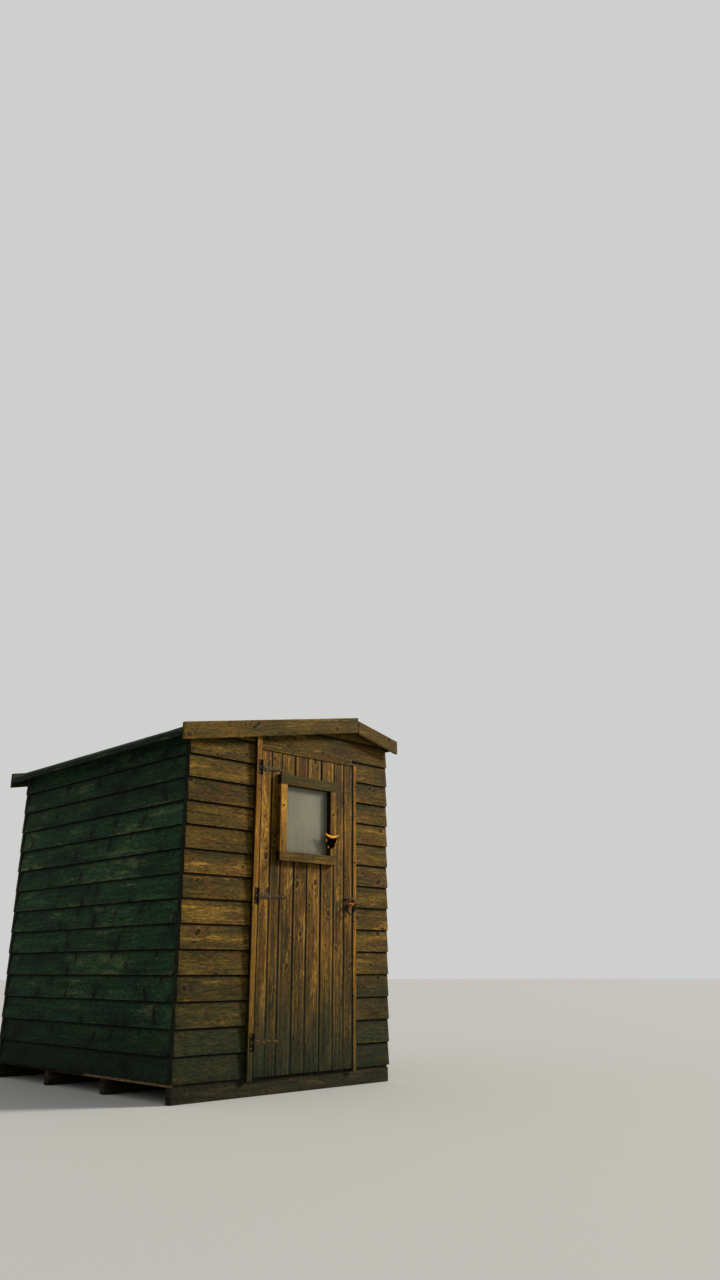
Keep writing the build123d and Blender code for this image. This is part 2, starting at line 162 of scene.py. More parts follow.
world = bpy.data.worlds.new("studio")
bpy.context.scene.world = world
world.use_nodes = True
sky = world.node_tree
sky.nodes.clear()
camera_ray, glossy_ray, clear_ray = (
    add(sky, "ShaderNodeLightPath", out=ray)
    for ray in ("Is Camera Ray", "Is Glossy Ray", "Is Transmission Ray"))
straight = maths("MAXIMUM", camera_ray, maths("MAXIMUM", glossy_ray, clear_ray))
lit = add(sky, "ShaderNodeBackground", {"Color": SKY_COLOUR, "Strength": SKY_STRENGTH})
seen = add(sky, "ShaderNodeBackground", {"Color": SKY_COLOUR, "Strength": 1.0})
either = add(sky, "ShaderNodeMixShader", {0: straight, 1: lit, 2: seen})
add(sky, "ShaderNodeOutputWorld", {"Surface": either})


def new_material(name):
    """A material with an empty tree."""
    material = bpy.data.materials.new(name)
    material.use_nodes = True
    material.node_tree.nodes.clear()
    return material


def surface(material, inputs, height=None, strength=0.0, depth=0.0):
    """Ends a material with its shader, and with a bump where a height is given."""
    tree = material.node_tree
    if height:
        bump = {"Strength": strength, "Distance": depth, "Height": height}
        inputs["Normal"] = add(tree, "ShaderNodeBump", bump)
    add(tree, "ShaderNodeOutputMaterial", {"Surface": add(tree, "ShaderNodeBsdfPrincipled", inputs)})
    return material


bpy.ops.mesh.primitive_circle_add(vertices=96, radius=FLOOR_RADIUS, fill_type="NGON")
floor = bpy.context.object
floor.name = "studio_floor"
floor_paint = {"Base Color": FLOOR_COLOUR, "Roughness": 0.9}
floor.data.materials.append(surface(new_material("floor_paint"), floor_paint))

# Walls: lapped softwood boards, nailed to the frames. Each is thicker at its lower edge,
# which stands out over the board below. The stain is dark green and worn.
COURSE = 0.125
BUTT = 0.011
TIP = 0.0035
LAP = 0.020
LEFT_PITCH = math.radians(10.75)
RIGHT_PITCH = math.radians(12.5)
DECK_DROP = 0.040
INDOOR_MARGIN = 0.014
AXIS_X = Vector((1, 0, 0))
AXIS_Y = Vector((0, 1, 0))
AXIS_Z = Vector((0, 0, 1))


def corners(node):
    """The low and the high corner of a node's box."""
    return [Vector(corner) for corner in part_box(node)]


left_barge_end = corners("bargeboard_front_left")[1]
RIDGE_X = corners("bargeboard_front_right")[0].x
RIDGE_TOP = left_barge_end.z + (RIDGE_X - left_barge_end.x) * math.tan(LEFT_PITCH)
FLOOR_TOP = corners("floor")[1].z
FOOTPRINT = (
    (corners("left_wall")[0].x, corners("front_wall_left")[0].y),
    (corners("right_wall")[1].x, corners("back_wall")[1].y))


def shade(red, green, blue):
    """A colour given as it looks on a screen, 0 to 255, made linear."""
    linear = []
    for value in (red, green, blue):
        part = value / 255
        linear.append(part / 12.92 if part < 0.04045 else ((part + 0.055) / 1.055) ** 2.4)
    return (*linear, 1)


def mix(share, low, high):
    """Goes from one colour to another with share. A tuple is a colour as shade takes it."""
    low, high = (shade(*end) if isinstance(end, tuple) else end for end in (low, high))
    return add(share.tree, "ShaderNodeMix", {0: share, 6: low, 7: high}, 2, data_type="RGBA")


def step(value, low, high, start=0.0, end=1.0):
    """A smooth change from start to end while value goes from low to high."""
    inputs = {"Value": value, "From Min": low, "From Max": high, "To Min": start, "To Max": end}
    return add(value.tree, "ShaderNodeMapRange", inputs, interpolation_type="SMOOTHSTEP")


def cloud(place, stretch, detail=3.0, roughness=0.55):
    """Noise, with the number of its waves per metre along each axis."""
    return add(place.tree, "ShaderNodeTexNoise", {
        "Vector": place * stretch, "Scale": 1.0, "Detail": detail, "Roughness": roughness})


def wave(turn):
    """A wave between 0 and 1."""
    return maths("SINE", turn) * 0.5 + 0.5


def triple(*parts):
    """A vector of up to three numbers, the missing ones 0."""
    tree = next(part.tree for part in parts if isinstance(part, Field))
    return add(tree, "ShaderNodeCombineXYZ", dict(enumerate(parts)))


def inside(place, box, margin):
    """1 where the place is inside a box seen from above, and 0 outside it."""
    tests = []
    for axis in (0, 1):
        tests.append(maths("GREATER_THAN", place.axis(axis), box[0][axis] + margin))
        tests.append(maths("LESS_THAN", place.axis(axis), box[1][axis] - margin))
    return math.prod(tests)


def scored(place, start, end, width):
    """1 along a ragged line between two places (x, z) on the front's faces, and 0 off it."""
    first = Vector((start[0], 0, start[1]))
    run = Vector((end[0], 0, end[1])) - first
    flat = place * (1, 0, 1) - first
    along = maths("DOT_PRODUCT", flat, run / run.length_squared)
    nearest = maths("MINIMUM", maths("MAXIMUM", along, 0.0), 1.0) * run
    off = maths("LENGTH", flat - nearest) + cloud(place, (90, 90, 90)) * width
    return step(off, width * 1.15, width * 0.75) * maths("LESS_THAN", place.axis(1), 0.0)


def object_place(material):
    """The place on the whole shed, in metres."""
    return add(material.node_tree, "ShaderNodeTexCoord", out="Object")


def softwood(name, pale, deep, worn, knot, ruddy=None, wear=0.4, figure=0.5, mottle=0.5,
             knot_size=(0.009, 0.012), knot_room=(0.34, 0.11), knot_share=0.62, halo=0.35,
             smoke=0.0, damp_and_shade=None, damp_and_shade_height=0.5, course=None, shaded_sides=0.0, groove_dirt_and_shade=None,
             gash=None, bare=None, bare_from=0.7, indoors=False, rough=0.78, relief=0.9):
    """Sawn softwood with knots, ring lines that bend round them, fibres, cracks and worn stain."""
    material = new_material(name)
    tree = material.node_tree
    grain = add(tree, "ShaderNodeAttribute", out="Vector", attribute_name="grain")
    board = add(tree, "ShaderNodeAttribute", out="Fac", attribute_name="board")
    place = grain * (1, 1, 0.012) + triple(board * 61.7, board * 23.3, board * 5.9)

    # knots: each has its own size, and some of the places stay clear
    room = (1 / knot_room[0], 1 / knot_room[1], 0)
    middle, cell = (add(tree, "ShaderNodeTexVoronoi", {
        "Vector": place * room, "Scale": 1.0, "Randomness": 1.0}, out, voronoi_dimensions="2D")
        for out in ("Position", "Color"))
    stray = add(tree, "ShaderNodeTexNoise", {"Vector": place, "Scale": 55.0, "Detail": 2.0}, 1)
    away = (place * room - middle) * (*knot_room, 0) + (stray - (0.5, 0.5, 0.5)) * 0.007
    away = away + triple(away.axis(1) * (cell.axis(2) * 1.4 - 0.7))
    missing = maths("GREATER_THAN", cell.axis(0), knot_share) * 40.0
    size = cell.axis(1) * 0.9 + 0.5
    near = maths("LENGTH", away / (*knot_size, 1)) / size + missing
    eye = maths("LENGTH", away / (knot_size[0] * 3.6, knot_size[1] * 1.7, 1)) / size + missing
    eye = maths("EXPONENT", eye * eye * -1.0)
    core = step(near, 1.06, 0.8)
    rim = step(near, 1.6, 1.05) * (1.0 - core)

    # ring lines, wide ones in the figure and fine ones between them
    rings = place.axis(1) * 31.0 + cloud(place, (1.5, 6.5, 6.5), 2.0) * 4.4 - 2.2 + eye * 2.1
    wide = maths("POWER", wave(rings * math.tau), 2.2)
    fine = wave(rings * 27.0)
    fibre = cloud(place, (21, 620, 620), 3.0, 0.6)

    # stain: pale and deep blotches, streaks along the board, and patches worn to the wood
    broad = cloud(place, (1.9, 8, 8), 4.0, 0.6)
    streak = cloud(place, (1.5, 46, 46), 5.0, 0.66)
    speckle = cloud(place, (34, 120, 120), 5.0, 0.72)
    colour = mix(step(broad * 0.55 + streak * 0.45, 0.36, 0.64), deep, pale)
    if ruddy:
        blush = speckle * 0.3 + cloud(place, (4.5, 15, 15), 4.0, 0.65)
        colour = mix(step(blush, 0.64, 0.80) * 0.75, colour, ruddy)
    patch = cloud(place, (4.2, 26, 26), 5.0, 0.7) + (broad - 0.5) * 0.7 + eye * 0.09
    bared = step(patch, 0.66 - 0.24 * wear, 0.80 - 0.24 * wear)
    colour = mix(bared * min(1.0, 0.35 + wear), colour, worn)
    fleck = step(cloud(place, (60, 210, 210), 3.0, 0.6), 0.66, 0.74)
    colour = mix(fleck * 0.55, colour, worn)
    height = grain.axis(1)
    # each lapped board turns lighter along its lower edge
    if course:
        colour = mix(step(streak * 0.010 + height, 0.013, 0.004) * 0.34, colour, worn)

    # light and dark: rings, fibres, cracks, each board's own tint, and painted shade at the laps
    light = (1.0 - wide * (0.62 * figure)) * (1.0 - fine * 0.16) * (fibre * 0.5 + 0.76)
    light = light * step(speckle, 0.34, 0.66, 1.0 - mottle, 1.0 + 0.6 * mottle)
    light = light * (maths("FRACT", board * 37.7) * 0.42 + 0.80)
    split = maths("ABSOLUTE", cloud(place, (2.0, 40, 40), 2.0) - 0.5)
    crack = step(split, 0.011, 0.003) * step(cloud(place, (1.4, 9, 9), 2.0), 0.56, 0.64)
    even = light * (1.0 - crack * 0.72)
    light = even * (1.0 - eye * smoke)
    if course:
        # dirt and painted shade in the band under each lap, and painted shade on each board's underside
        lap_dirt_and_shade = step(patch * 0.012 + height, course - 0.014, course + 0.003)
        painted_underside_shade = step(height, 0.0022, 0.0008)
        light = light * (1.0 - lap_dirt_and_shade * 0.85) * (1.0 - painted_underside_shade * 0.85)
    colour = mix(rim * halo, colour * light, worn)
    colour = mix(core * 0.88, colour, knot)

    # painted shade on the sides, what never had stain, and the green film low down:
    # algae where rain splashes, deepened by painted shade near the ground
    here = object_place(material)
    depth = grain.axis(2)
    never = 0.0
    # the sides and back of each board are darkened: painted shade
    if shaded_sides:
        colour = colour * step(depth, 0.04, 0.16, 1.0, 1.0 - shaded_sides)
    # at the door's V grooves: lighter arrises, then dirt and painted shade down in the groove
    if groove_dirt_and_shade:
        edge = add(tree, "ShaderNodeAttribute", out="Fac", attribute_name="rim") - speckle * 0.004
        crest = step(edge, groove_dirt_and_shade * 0.6, groove_dirt_and_shade) * step(edge, groove_dirt_and_shade * 2.4, groove_dirt_and_shade * 1.2)
        colour = mix(crest * step(streak, 0.42, 0.58, 0.0, 0.42), colour, worn)
        colour = colour * step(edge, -0.0010, groove_dirt_and_shade, 0.05, 1.0)
    if gash:
        colour = mix(scored(here, *gash), colour, (16, 12, 7))
    if bare:
        never = step(depth, bare_from - 0.05, bare_from + 0.05)
        if indoors:
            never = never * inside(here, FOOTPRINT, INDOOR_MARGIN)
        colour = mix(never, colour, mix(core * 0.7, even * shade(*bare), knot))
    # the low film is algae, deepened as painted shade near the ground
    if damp_and_shade:
        edge = cloud(here, (2.6, 2.6, 2.6), 5.0, 0.65) * 0.36 + here.axis(2)
        film = step(edge, damp_and_shade_height + 0.30, 0.24) * (1.0 - never * 0.85)
        colour = mix(film * 0.88, colour, light * shade(*damp_and_shade))
    height = fibre * 0.55 - wide * (0.35 * figure) - fine * 0.20 - crack * 1.1 + core * 0.45 + broad * 0.8
    inputs = {"Base Color": colour, "Roughness": streak * 0.24 + (rough - 0.12), "Specular IOR Level": 0.09}
    return surface(material, inputs, height, relief, 0.0016)


def new_tree(name, **sockets):
    """A geometry tree with these inputs, and the inputs as fields."""
    tree = bpy.data.node_groups.new(name, "GeometryNodeTree")
    for socket, kind in sockets.items():
        tree.interface.new_socket(socket, in_out="INPUT", socket_type=f"NodeSocket{kind}")
    tree.interface.new_socket("Geometry", in_out="OUTPUT", socket_type="NodeSocketGeometry")
    given = tree.nodes.new("NodeGroupInput").outputs
    return tree, {socket: Field(given[socket]) for socket in sockets}


def noted(geometry, name, value, domain="POINT"):
    """The geometry with a value kept on it under a name."""
    inputs = {"Geometry": geometry, "Name": name, "Value": value}
    return add(geometry.tree, "GeometryNodeStoreNamedAttribute", inputs,
               data_type="FLOAT_VECTOR" if value.long else "FLOAT", domain=domain)


def moved(geometry, **how):
    """The geometry with its points at a Position, or moved by an Offset."""
    return add(geometry.tree, "GeometryNodeSetPosition", {"Geometry": geometry, **how})


def board_tree():
    """Node tree for a row of boards: long along X, side by side along Z, faces at Y 0.

    It keeps each point's place on its board as grain (along, across, depth from 0 to 1) and
    its way to the nearer long edge as rim, and gives every board a number of its own.
    """
    sizes = ("Length", "Width", "Butt", "Tip", "Pitch", "Lean", "Bow", "Ragged")
    tree, given = new_tree("board_row", **dict.fromkeys(sizes, "Float"), Count="Int", Steps="Int",
                           Lines="Int", Seed="Int", Material="Material")
    position = add(tree, "GeometryNodeInputPosition")
    x, y, z = (position.axis(number) for number in range(3))
    size = triple(given["Length"], 1.0, given["Width"])
    board = add(tree, "GeometryNodeMeshCube", {"Size": size, "Vertices X": given["Steps"],
                "Vertices Y": 2, "Vertices Z": given["Lines"]})
    board = moved(board, Position=position + size * 0.5)
    board = noted(board, "grain", triple(x, z, y))
    board = noted(board, "rim", maths("MINIMUM", z, given["Width"] - z))
    thickness = given["Butt"] + z / given["Width"] * (given["Tip"] - given["Butt"])
    board = moved(board, Position=triple(x, y * thickness, z))

    offset = triple(0.0, 0.0, given["Pitch"])
    line = add(tree, "GeometryNodeMeshLine", {"Count": given["Count"], "Offset": offset})
    stray = add(tree, "FunctionNodeRandomValue", {0: (-0.0012,) * 3, 1: (0.0012,) * 3,
                "Seed": given["Seed"]}, data_type="FLOAT_VECTOR")
    turned = add(tree, "FunctionNodeEulerToRotation", {0: triple(given["Lean"] * -1.0) + stray})
    row = add(tree, "GeometryNodeInstanceOnPoints", {"Points": line, "Instance": board, "Rotation": turned})
    number = add(tree, "FunctionNodeRandomValue", {"Seed": given["Seed"]}, 1, data_type="FLOAT")
    row = add(tree, "GeometryNodeRealizeInstances", {0: noted(row, "board", number, "INSTANCE")})

    own = add(tree, "GeometryNodeInputNamedAttribute", {"Name": "board"}, data_type="FLOAT")
    where = position + triple(own * 91.0, own * 37.0)
    bends = []
    for waves, amount in ((1.9, given["Bow"]), (19.0, given["Ragged"])):
        bend = add(tree, "ShaderNodeTexNoise", {"Vector": where, "Scale": waves, "Detail": 2.0}, 1)
        bends.append((bend - (0.5, 0.5, 0.5)) * (amount * 2.0))
    row = moved(row, Offset=bends[0] + bends[1])
    row = add(tree, "GeometryNodeSetMaterial", {"Geometry": row, "Material": given["Material"]})
    add(tree, "NodeGroupOutput", {0: row})
    return tree


BOARD_ROW = board_tree()


def finished_mesh(thing):
    """The object's mesh with its modifiers applied."""
    graph = bpy.context.evaluated_depsgraph_get()
    return bpy.data.meshes.new_from_object(
        thing.evaluated_get(graph), preserve_all_data_layers=True, depsgraph=graph)


def grow(tree, points=None, **given):
    """Runs a geometry tree with these inputs and gives the result as a plain mesh."""
    holder = stand("holder", points or bpy.data.meshes.new("holder"))
    modifier = holder.modifiers.new("made", "NODES")
    modifier.node_group = tree
    for socket in tree.interface.items_tree:
        if socket.name in given:
            modifier[socket.identifier] = given[socket.name]
    mesh = finished_mesh(holder)
    holder.modifiers.remove(modifier)
    bpy.data.objects.remove(holder)
    return mesh


def boards(material, length, width, thickness, seed, count=1, pitch=0.0, tip=None, lean=0.0,
           bow=0.0012, ragged=0.0006, segment=0.045, across=5):
    """A row of boards as a mesh."""
    return grow(BOARD_ROW, Length=length, Width=width, Butt=thickness,
                Tip=thickness if tip is None else tip, Pitch=pitch, Lean=lean, Bow=bow,
                Ragged=ragged, Count=count, Steps=max(3, round(length / segment)), Lines=across,
                Seed=seed, Material=material)


def laid(origin, along, across):
    """Places a row: its length along one direction, its boards one beyond another across."""
    columns = Matrix((along, across.cross(along), across)).transposed().to_4x4()
    return Matrix.Translation(origin) @ columns


def new_piece(name, form, material=None, arris=0.0, sharp=48, roundness=0.6, crease=34):
    """The form as an object. Edges past the angle sharp are eased by the arris."""
    if arris:
        edges = [edge for edge in form.edges
                 if len(edge.link_faces) == 2 and edge.calc_face_angle(0) > math.radians(sharp)]
        bmesh.ops.bevel(form, geom=edges, offset=arris, segments=2, profile=roundness,
                        affect="EDGES", clamp_overlap=True)
    for face in form.faces:
        face.material_index = 0
    mesh = bpy.data.meshes.new(name)
    form.to_mesh(mesh)
    form.free()
    if material:
        mesh.materials.append(material)
    mesh.shade_smooth()
    mesh.set_sharp_from_angle(angle=math.radians(crease))
    return stand(name, mesh)


def join(name, parts, arris=0.0012, cuts=()):
    """Joins placed meshes into one piece, without what lies beyond the planes."""
    form = bmesh.new()
    for mesh, place in parts:
        mesh.transform(place)
        form.from_mesh(mesh)
    for point, normal in cuts:
        cut = bmesh.ops.bisect_plane(
            form, geom=[*form.verts, *form.edges, *form.faces], dist=1e-5,
            plane_co=point, plane_no=normal, clear_outer=True)
        rim = [part for part in cut["geom_cut"] if isinstance(part, bmesh.types.BMEdge)]
        bmesh.ops.holes_fill(form, edges=rim)
    bmesh.ops.recalc_face_normals(form, faces=form.faces)
    for vert in form.verts:
        for axis in range(3):
            vert.co[axis] = min(max(vert.co[axis], CAD_BOX[0][axis]), CAD_BOX[1][axis])
    material = next(material for material in parts[0][0].materials if material)
    return new_piece(name, form, material, arris)


def fit(piece, body, slot, *nodes):
    """The piece rides on its body, in place of its nodes where it has any."""
    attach(piece, body)
    if nodes:
        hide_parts(*nodes)


def build(name, parts, slot, *nodes, body="root", **options):
    """Joins parts into a piece that stands for these nodes."""
    fit(join(name, parts, **options), body, slot, *nodes)


def roof_height(x, drop):
    """Height over x of the roof's line that lies drop under the bargeboards' top edges."""
    left = RIDGE_TOP - (RIDGE_X - x) * math.tan(LEFT_PITCH) - drop / math.cos(LEFT_PITCH)
    right = RIDGE_TOP - (x - RIDGE_X) * math.tan(RIGHT_PITCH) - drop / math.cos(RIGHT_PITCH)
    return min(left, right)


def slope_ways(pitch):
    """The ways up a slope and square out of it."""
    return Vector((math.cos(pitch), 0, math.sin(pitch))), Vector((-math.sin(pitch), 0, math.cos(pitch)))


under_deck = [(Vector((RIDGE_X, 0, RIDGE_TOP - DECK_DROP / math.cos(pitch))), slope_ways(pitch)[1])
              for pitch in (LEFT_PITCH, -RIGHT_PITCH)]
BARE = (158, 128, 88)
BARE_KNOT = (84, 52, 30)
# The green of algae, made darker as painted shade.
ALGAE_AND_SHADE = (20, 37, 21)
wall_look = {"course": COURSE, "bare": BARE, "bare_from": 0.92}
# One green stain in three copies: the side and back boards are dark green with painted shade, the right
# wall's sunny boards are olive, and the front boards are golden brown with painted sunlight.
shaded_side_wood = softwood(
    "side_boards", pale=(42, 71, 44), deep=(17, 37, 23), worn=(88, 98, 62),
    knot=(8, 18, 10), wear=0.34, figure=0.34, mottle=0.62, knot_size=(0.015, 0.034),
    knot_room=(0.24, 0.125), knot_share=0.72, halo=0.0, smoke=0.5, damp_and_shade=ALGAE_AND_SHADE, damp_and_shade_height=0.35,
    shaded_sides=0.85, **wall_look)
sunny_wood = softwood(
    "sunny_side_boards", pale=(72, 66, 36), deep=(42, 44, 25), worn=(108, 88, 48),
    knot=(22, 19, 10), ruddy=(82, 58, 31), wear=0.36, figure=0.34, mottle=0.4,
    knot_size=(0.014, 0.024), knot_room=(0.24, 0.12), knot_share=0.66, halo=0.1, smoke=0.4,
    damp_and_shade=(28, 36, 22), damp_and_shade_height=0.45, shaded_sides=0.6, **wall_look)
sunlit_front_wood = softwood(
    "front_boards", pale=(105, 82, 26), deep=(50, 45, 16), worn=(150, 114, 46),
    knot=(28, 18, 8), ruddy=(92, 60, 22), wear=0.38, figure=0.36, mottle=0.6,
    knot_size=(0.014, 0.013), knot_room=(0.24, 0.115), knot_share=0.62, halo=0.2, smoke=0.3,
    damp_and_shade=ALGAE_AND_SHADE, damp_and_shade_height=0.78, shaded_sides=0.9, **wall_look)


def lapped_wall(material, length, rows, seed):
    """Lapped boards, with as many rows as the wall's highest part takes."""
    return boards(material, length, COURSE + LAP, BUTT, seed, count=rows, pitch=COURSE, tip=TIP,
                  lean=math.atan(BUTT / COURSE), bow=0.0016, ragged=0.0011, segment=0.03, across=7)


def rows_up_to(height, bottom=FLOOR_TOP):
    """The number of boards that reach up to a height."""
    return math.ceil((height - bottom) / COURSE)


wall_places = {}
for side, wood, along, seed in (("left", shaded_side_wood, -AXIS_Y, 11), ("right", sunny_wood, AXIS_Y, 12),
                                ("back", shaded_side_wood, -AXIS_X, 13)):
    low, high = corners(f"{side}_wall")
    corner = Vector((low.x if side == "left" else high.x, low.y if side == "right" else high.y, FLOOR_TOP))
    wall_places[side] = laid(corner, along, AXIS_Z)
    rows = lapped_wall(wood, abs((high - low).dot(along)), rows_up_to(high.z), seed)
    build(f"{side}_wall_boards", [(rows, wall_places[side])], "side_boards", f"{side}_wall",
          cuts=under_deck)
for side, seed in (("left", 14), ("right", 15)):
    low, high = corners(f"front_wall_{side}")
    rows = lapped_wall(sunlit_front_wood, high.x - low.x, rows_up_to(high.z - 0.001), seed)
    beside_door_top = (high, AXIS_Z)
    build(f"front_wall_{side}_boards", [(rows, laid(low, AXIS_X, AXIS_Z))], "front_boards",
          f"front_wall_{side}", cuts=[beside_door_top])
FRONT_FACE = low.y
BESIDE_DOOR_TOP = high.z

# Over the doorway the boards run across the whole front, and a narrow strip fills in under
# them between the posts.
STRIP_SETBACK = 0.001
low, high = corners("front_wall_over_door")
rows = lapped_wall(sunlit_front_wood, high.x - low.x, rows_up_to(high.z, BESIDE_DOOR_TOP), 16)
strip_start = corners("front_wall_left")[1].x
strip_end = corners("front_wall_right")[0].x
strip = boards(sunlit_front_wood, strip_end - strip_start, BESIDE_DOOR_TOP - low.z + LAP, BUTT, 17, bow=0.0008)
parts = [
    (rows, laid(Vector((low.x, FRONT_FACE, BESIDE_DOOR_TOP)), AXIS_X, AXIS_Z)),
    (strip, laid(Vector((strip_start, FRONT_FACE + STRIP_SETBACK, low.z)), AXIS_X, AXIS_Z))]
build("front_wall_top_boards", parts, "front_boards", "front_wall_over_door", cuts=under_deck)

# Studs and rails behind the boards: sawn softwood, bare inside the shed. Outside, where their
# edges show at the corners, they are stained nearly black green with painted shade. Each member is a plank
# of its own.
STUD = 0.032
CLADDING = 0.016
PANEL_DEPTH = 0.044
MIDDLE_RAIL = 0.900
LINES_APART = 0.022
WALLS_LEFT = corners("front_wall_left")[0].x
WALLS_RIGHT = corners("front_wall_right")[1].x
DOORWAY_LEFT = corners("door_post_left")[1].x
DOORWAY_RIGHT = corners("door_post_right")[0].x
DOORWAY_HEAD = corners("front_wall_over_door")[0].z
BACK_FACE = corners("back_wall")[1].y
# Outside the shed this timber is nearly black green: the stain with painted shade.
bare_timber_shaded_outside = softwood(
    "bare_timber", pale=(26, 36, 22), deep=(16, 24, 15), worn=(44, 46, 26),
    knot=BARE_KNOT, wear=0.2, figure=0.45, knot_size=(0.008, 0.010), knot_room=(0.42, 0.06),
    bare=BARE, bare_from=-1, indoors=True, rough=0.85)


def spaced(start, end, count):
    """Evenly spaced places from start to end."""
    return [start + (end - start) * number / (count - 1) for number in range(count)]


def timber(material, low, high, along, face, seed, **options):
    """A plank that fills a box. face is the way that its face looks."""
    low, high = Vector(low), Vector(high)
    across = along.cross(-face)
    ways = along - face + across
    start = Vector([low[axis] if ways[axis] > 0 else high[axis] for axis in range(3)])
    length, width, thickness = (abs((high - low).dot(way)) for way in (along, across, face))
    options.setdefault("across", max(3, round(width / LINES_APART)))
    return boards(material, length, width, thickness, seed, **options), laid(start, along, across)


def timbers(material, boxes, along, face, seed, **options):
    """Planks that fill boxes, each with the seed after the last one's."""
    return [timber(material, *box, along, face, seed + number, **options)
            for number, box in enumerate(boxes)]


def sloped(material, x_range, y_range, pitch, drop, width, seed, back=False, **options):
    """A plank along a slope of the roof, its top edge drop under the roof's line."""
    along, across = slope_ways(pitch)
    x = x_range[back]
    start = Vector((x, y_range[back], roof_height(x, drop))) - across * width
    length = (x_range[1] - x_range[0]) / math.cos(pitch)
    plank = boards(material, length, width, y_range[1] - y_range[0], seed, **options)
    return plank, laid(start, -along if back else along, across)


front_range = (FRONT_FACE + CLADDING, FRONT_FACE + PANEL_DEPTH)
back_range = (BACK_FACE - PANEL_DEPTH, BACK_FACE - CLADDING)
back_studs = spaced(WALLS_LEFT, WALLS_RIGHT - STUD, 4)
low_rails = (FLOOR_TOP, MIDDLE_RAIL)
for name, node, x_range, studs, rails, y_range, seed in (
        ("front_frame_left", "front_frame_left", (WALLS_LEFT, DOORWAY_LEFT),
         (WALLS_LEFT, DOORWAY_LEFT - STUD), low_rails, front_range, 100),
        ("front_frame_right", "front_frame_right", (DOORWAY_RIGHT, WALLS_RIGHT),
         (DOORWAY_RIGHT, WALLS_RIGHT - STUD), low_rails, front_range, 130),
        ("front_frame_head", "front_frame_over_door", (DOORWAY_LEFT, DOORWAY_RIGHT),
         ((DOORWAY_LEFT + DOORWAY_RIGHT - STUD) / 2,), (DOORWAY_HEAD,), front_range, 160),
        ("back_frame", "back_wall_frame", (WALLS_LEFT, WALLS_RIGHT), back_studs, low_rails,
         back_range, 190)):
    near, far = y_range
    members = timbers(bare_timber_shaded_outside, [
        ((x, near, rails[0]), (x + STUD, far, roof_height(x, DECK_DROP) + STUD)) for x in studs],
        AXIS_Z, -AXIS_Y, seed)
    members += timbers(bare_timber_shaded_outside, [
        ((x_range[0], near, z), (x_range[1], far, z + STUD)) for z in rails], AXIS_X, -AXIS_Y, seed + 10)
    for start, end, pitch in ((x_range[0], min(x_range[1], RIDGE_X), LEFT_PITCH),
                              (max(x_range[0], RIDGE_X), x_range[1], -RIGHT_PITCH)):
        if end - start > STUD:
            members.append(sloped(bare_timber_shaded_outside, (start, end), y_range, pitch, DECK_DROP, STUD, seed + 20,
                                  across=4))
    ends = [(Vector((x_range[0], 0, 0)), -AXIS_X), (Vector((x_range[1], 0, 0)), AXIS_X)]
    build(name + "_timbers", members, "bare_timber", node, cuts=under_deck + ends)
for side, face, seed in (("left", -AXIS_X, 220), ("right", AXIS_X, 250)):
    low, high = corners(f"{side}_wall_frame")
    top_rail = min(roof_height(low.x, DECK_DROP), roof_height(high.x, DECK_DROP)) - STUD
    spans = (FLOOR_TOP, FLOOR_TOP + STUD), (MIDDLE_RAIL, MIDDLE_RAIL + STUD), (top_rail, high.z)
    members = timbers(bare_timber_shaded_outside, [
        ((low.x, low.y, foot), (high.x, high.y, top)) for foot, top in spans], AXIS_Y, face, seed)
    members += timbers(bare_timber_shaded_outside, [
        ((low.x, y, FLOOR_TOP), (high.x, y + STUD, top_rail + STUD / 2))
        for y in spaced(low.y, high.y - STUD, 5)], AXIS_Z, face, seed + 10)
    build(f"{side}_frame_timbers", members, "bare_timber", f"{side}_wall_frame", cuts=under_deck)

# Base: four sawn bearers laid across the shed and boards nailed down on them. The bearers
# are dark: damp, and partly painted shade. The boards are bare but for mud and wear.
BEARER_WIDTH = 0.045
FLOOR_BOARD = 0.114
FLOOR_GAP = 0.0015
damp_and_shaded_base_wood = softwood(
    "base_timber", pale=(50, 46, 30), deep=(28, 28, 18), worn=(76, 66, 42),
    knot=(26, 20, 13), wear=0.3, figure=0.5, knot_room=(0.35, 0.07), rough=0.88)
floor_wood = softwood(
    "floor_boards", pale=(34, 32, 20), deep=(22, 22, 14), worn=(48, 42, 26),
    knot=(48, 34, 20), wear=0.5, figure=0.5, bare=(142, 116, 80), bare_from=-1,
    indoors=True, rough=0.85)
low, high = corners("base_bearers")
bearers = timbers(damp_and_shaded_base_wood, [
    ((low.x, y, low.z), (high.x, y + BEARER_WIDTH, high.z))
    for y in spaced(low.y, high.y - BEARER_WIDTH, 4)], AXIS_X, -AXIS_Y, 300, bow=0.001, ragged=0.0004)
build("bearers", bearers, "base_timber", "base_bearers", arris=0.002)


def boarding(name, node, material, origin, ways, length, spread, thickness, width, gap, seed,
             arris, **stray):
    """Flat boards of about this width side by side, with a gap between them."""
    count = round(spread / width)
    pitch = spread / count
    planks = boards(material, length, pitch - gap, thickness, seed, count=count, pitch=pitch,
                    segment=0.08, **stray)
    build(name, [(planks, laid(origin, *ways))], "bare_timber", node, arris=arris)


low, high = corners("floor")
boarding("floor_planks", "floor", floor_wood, Vector((high.x, low.y, high.z)), (AXIS_Y, -AXIS_X),
         high.y - low.y, high.x - low.x, high.z - low.z, FLOOR_BOARD, FLOOR_GAP, 310, 0.0012,
         bow=0.0004, ragged=0.0003)

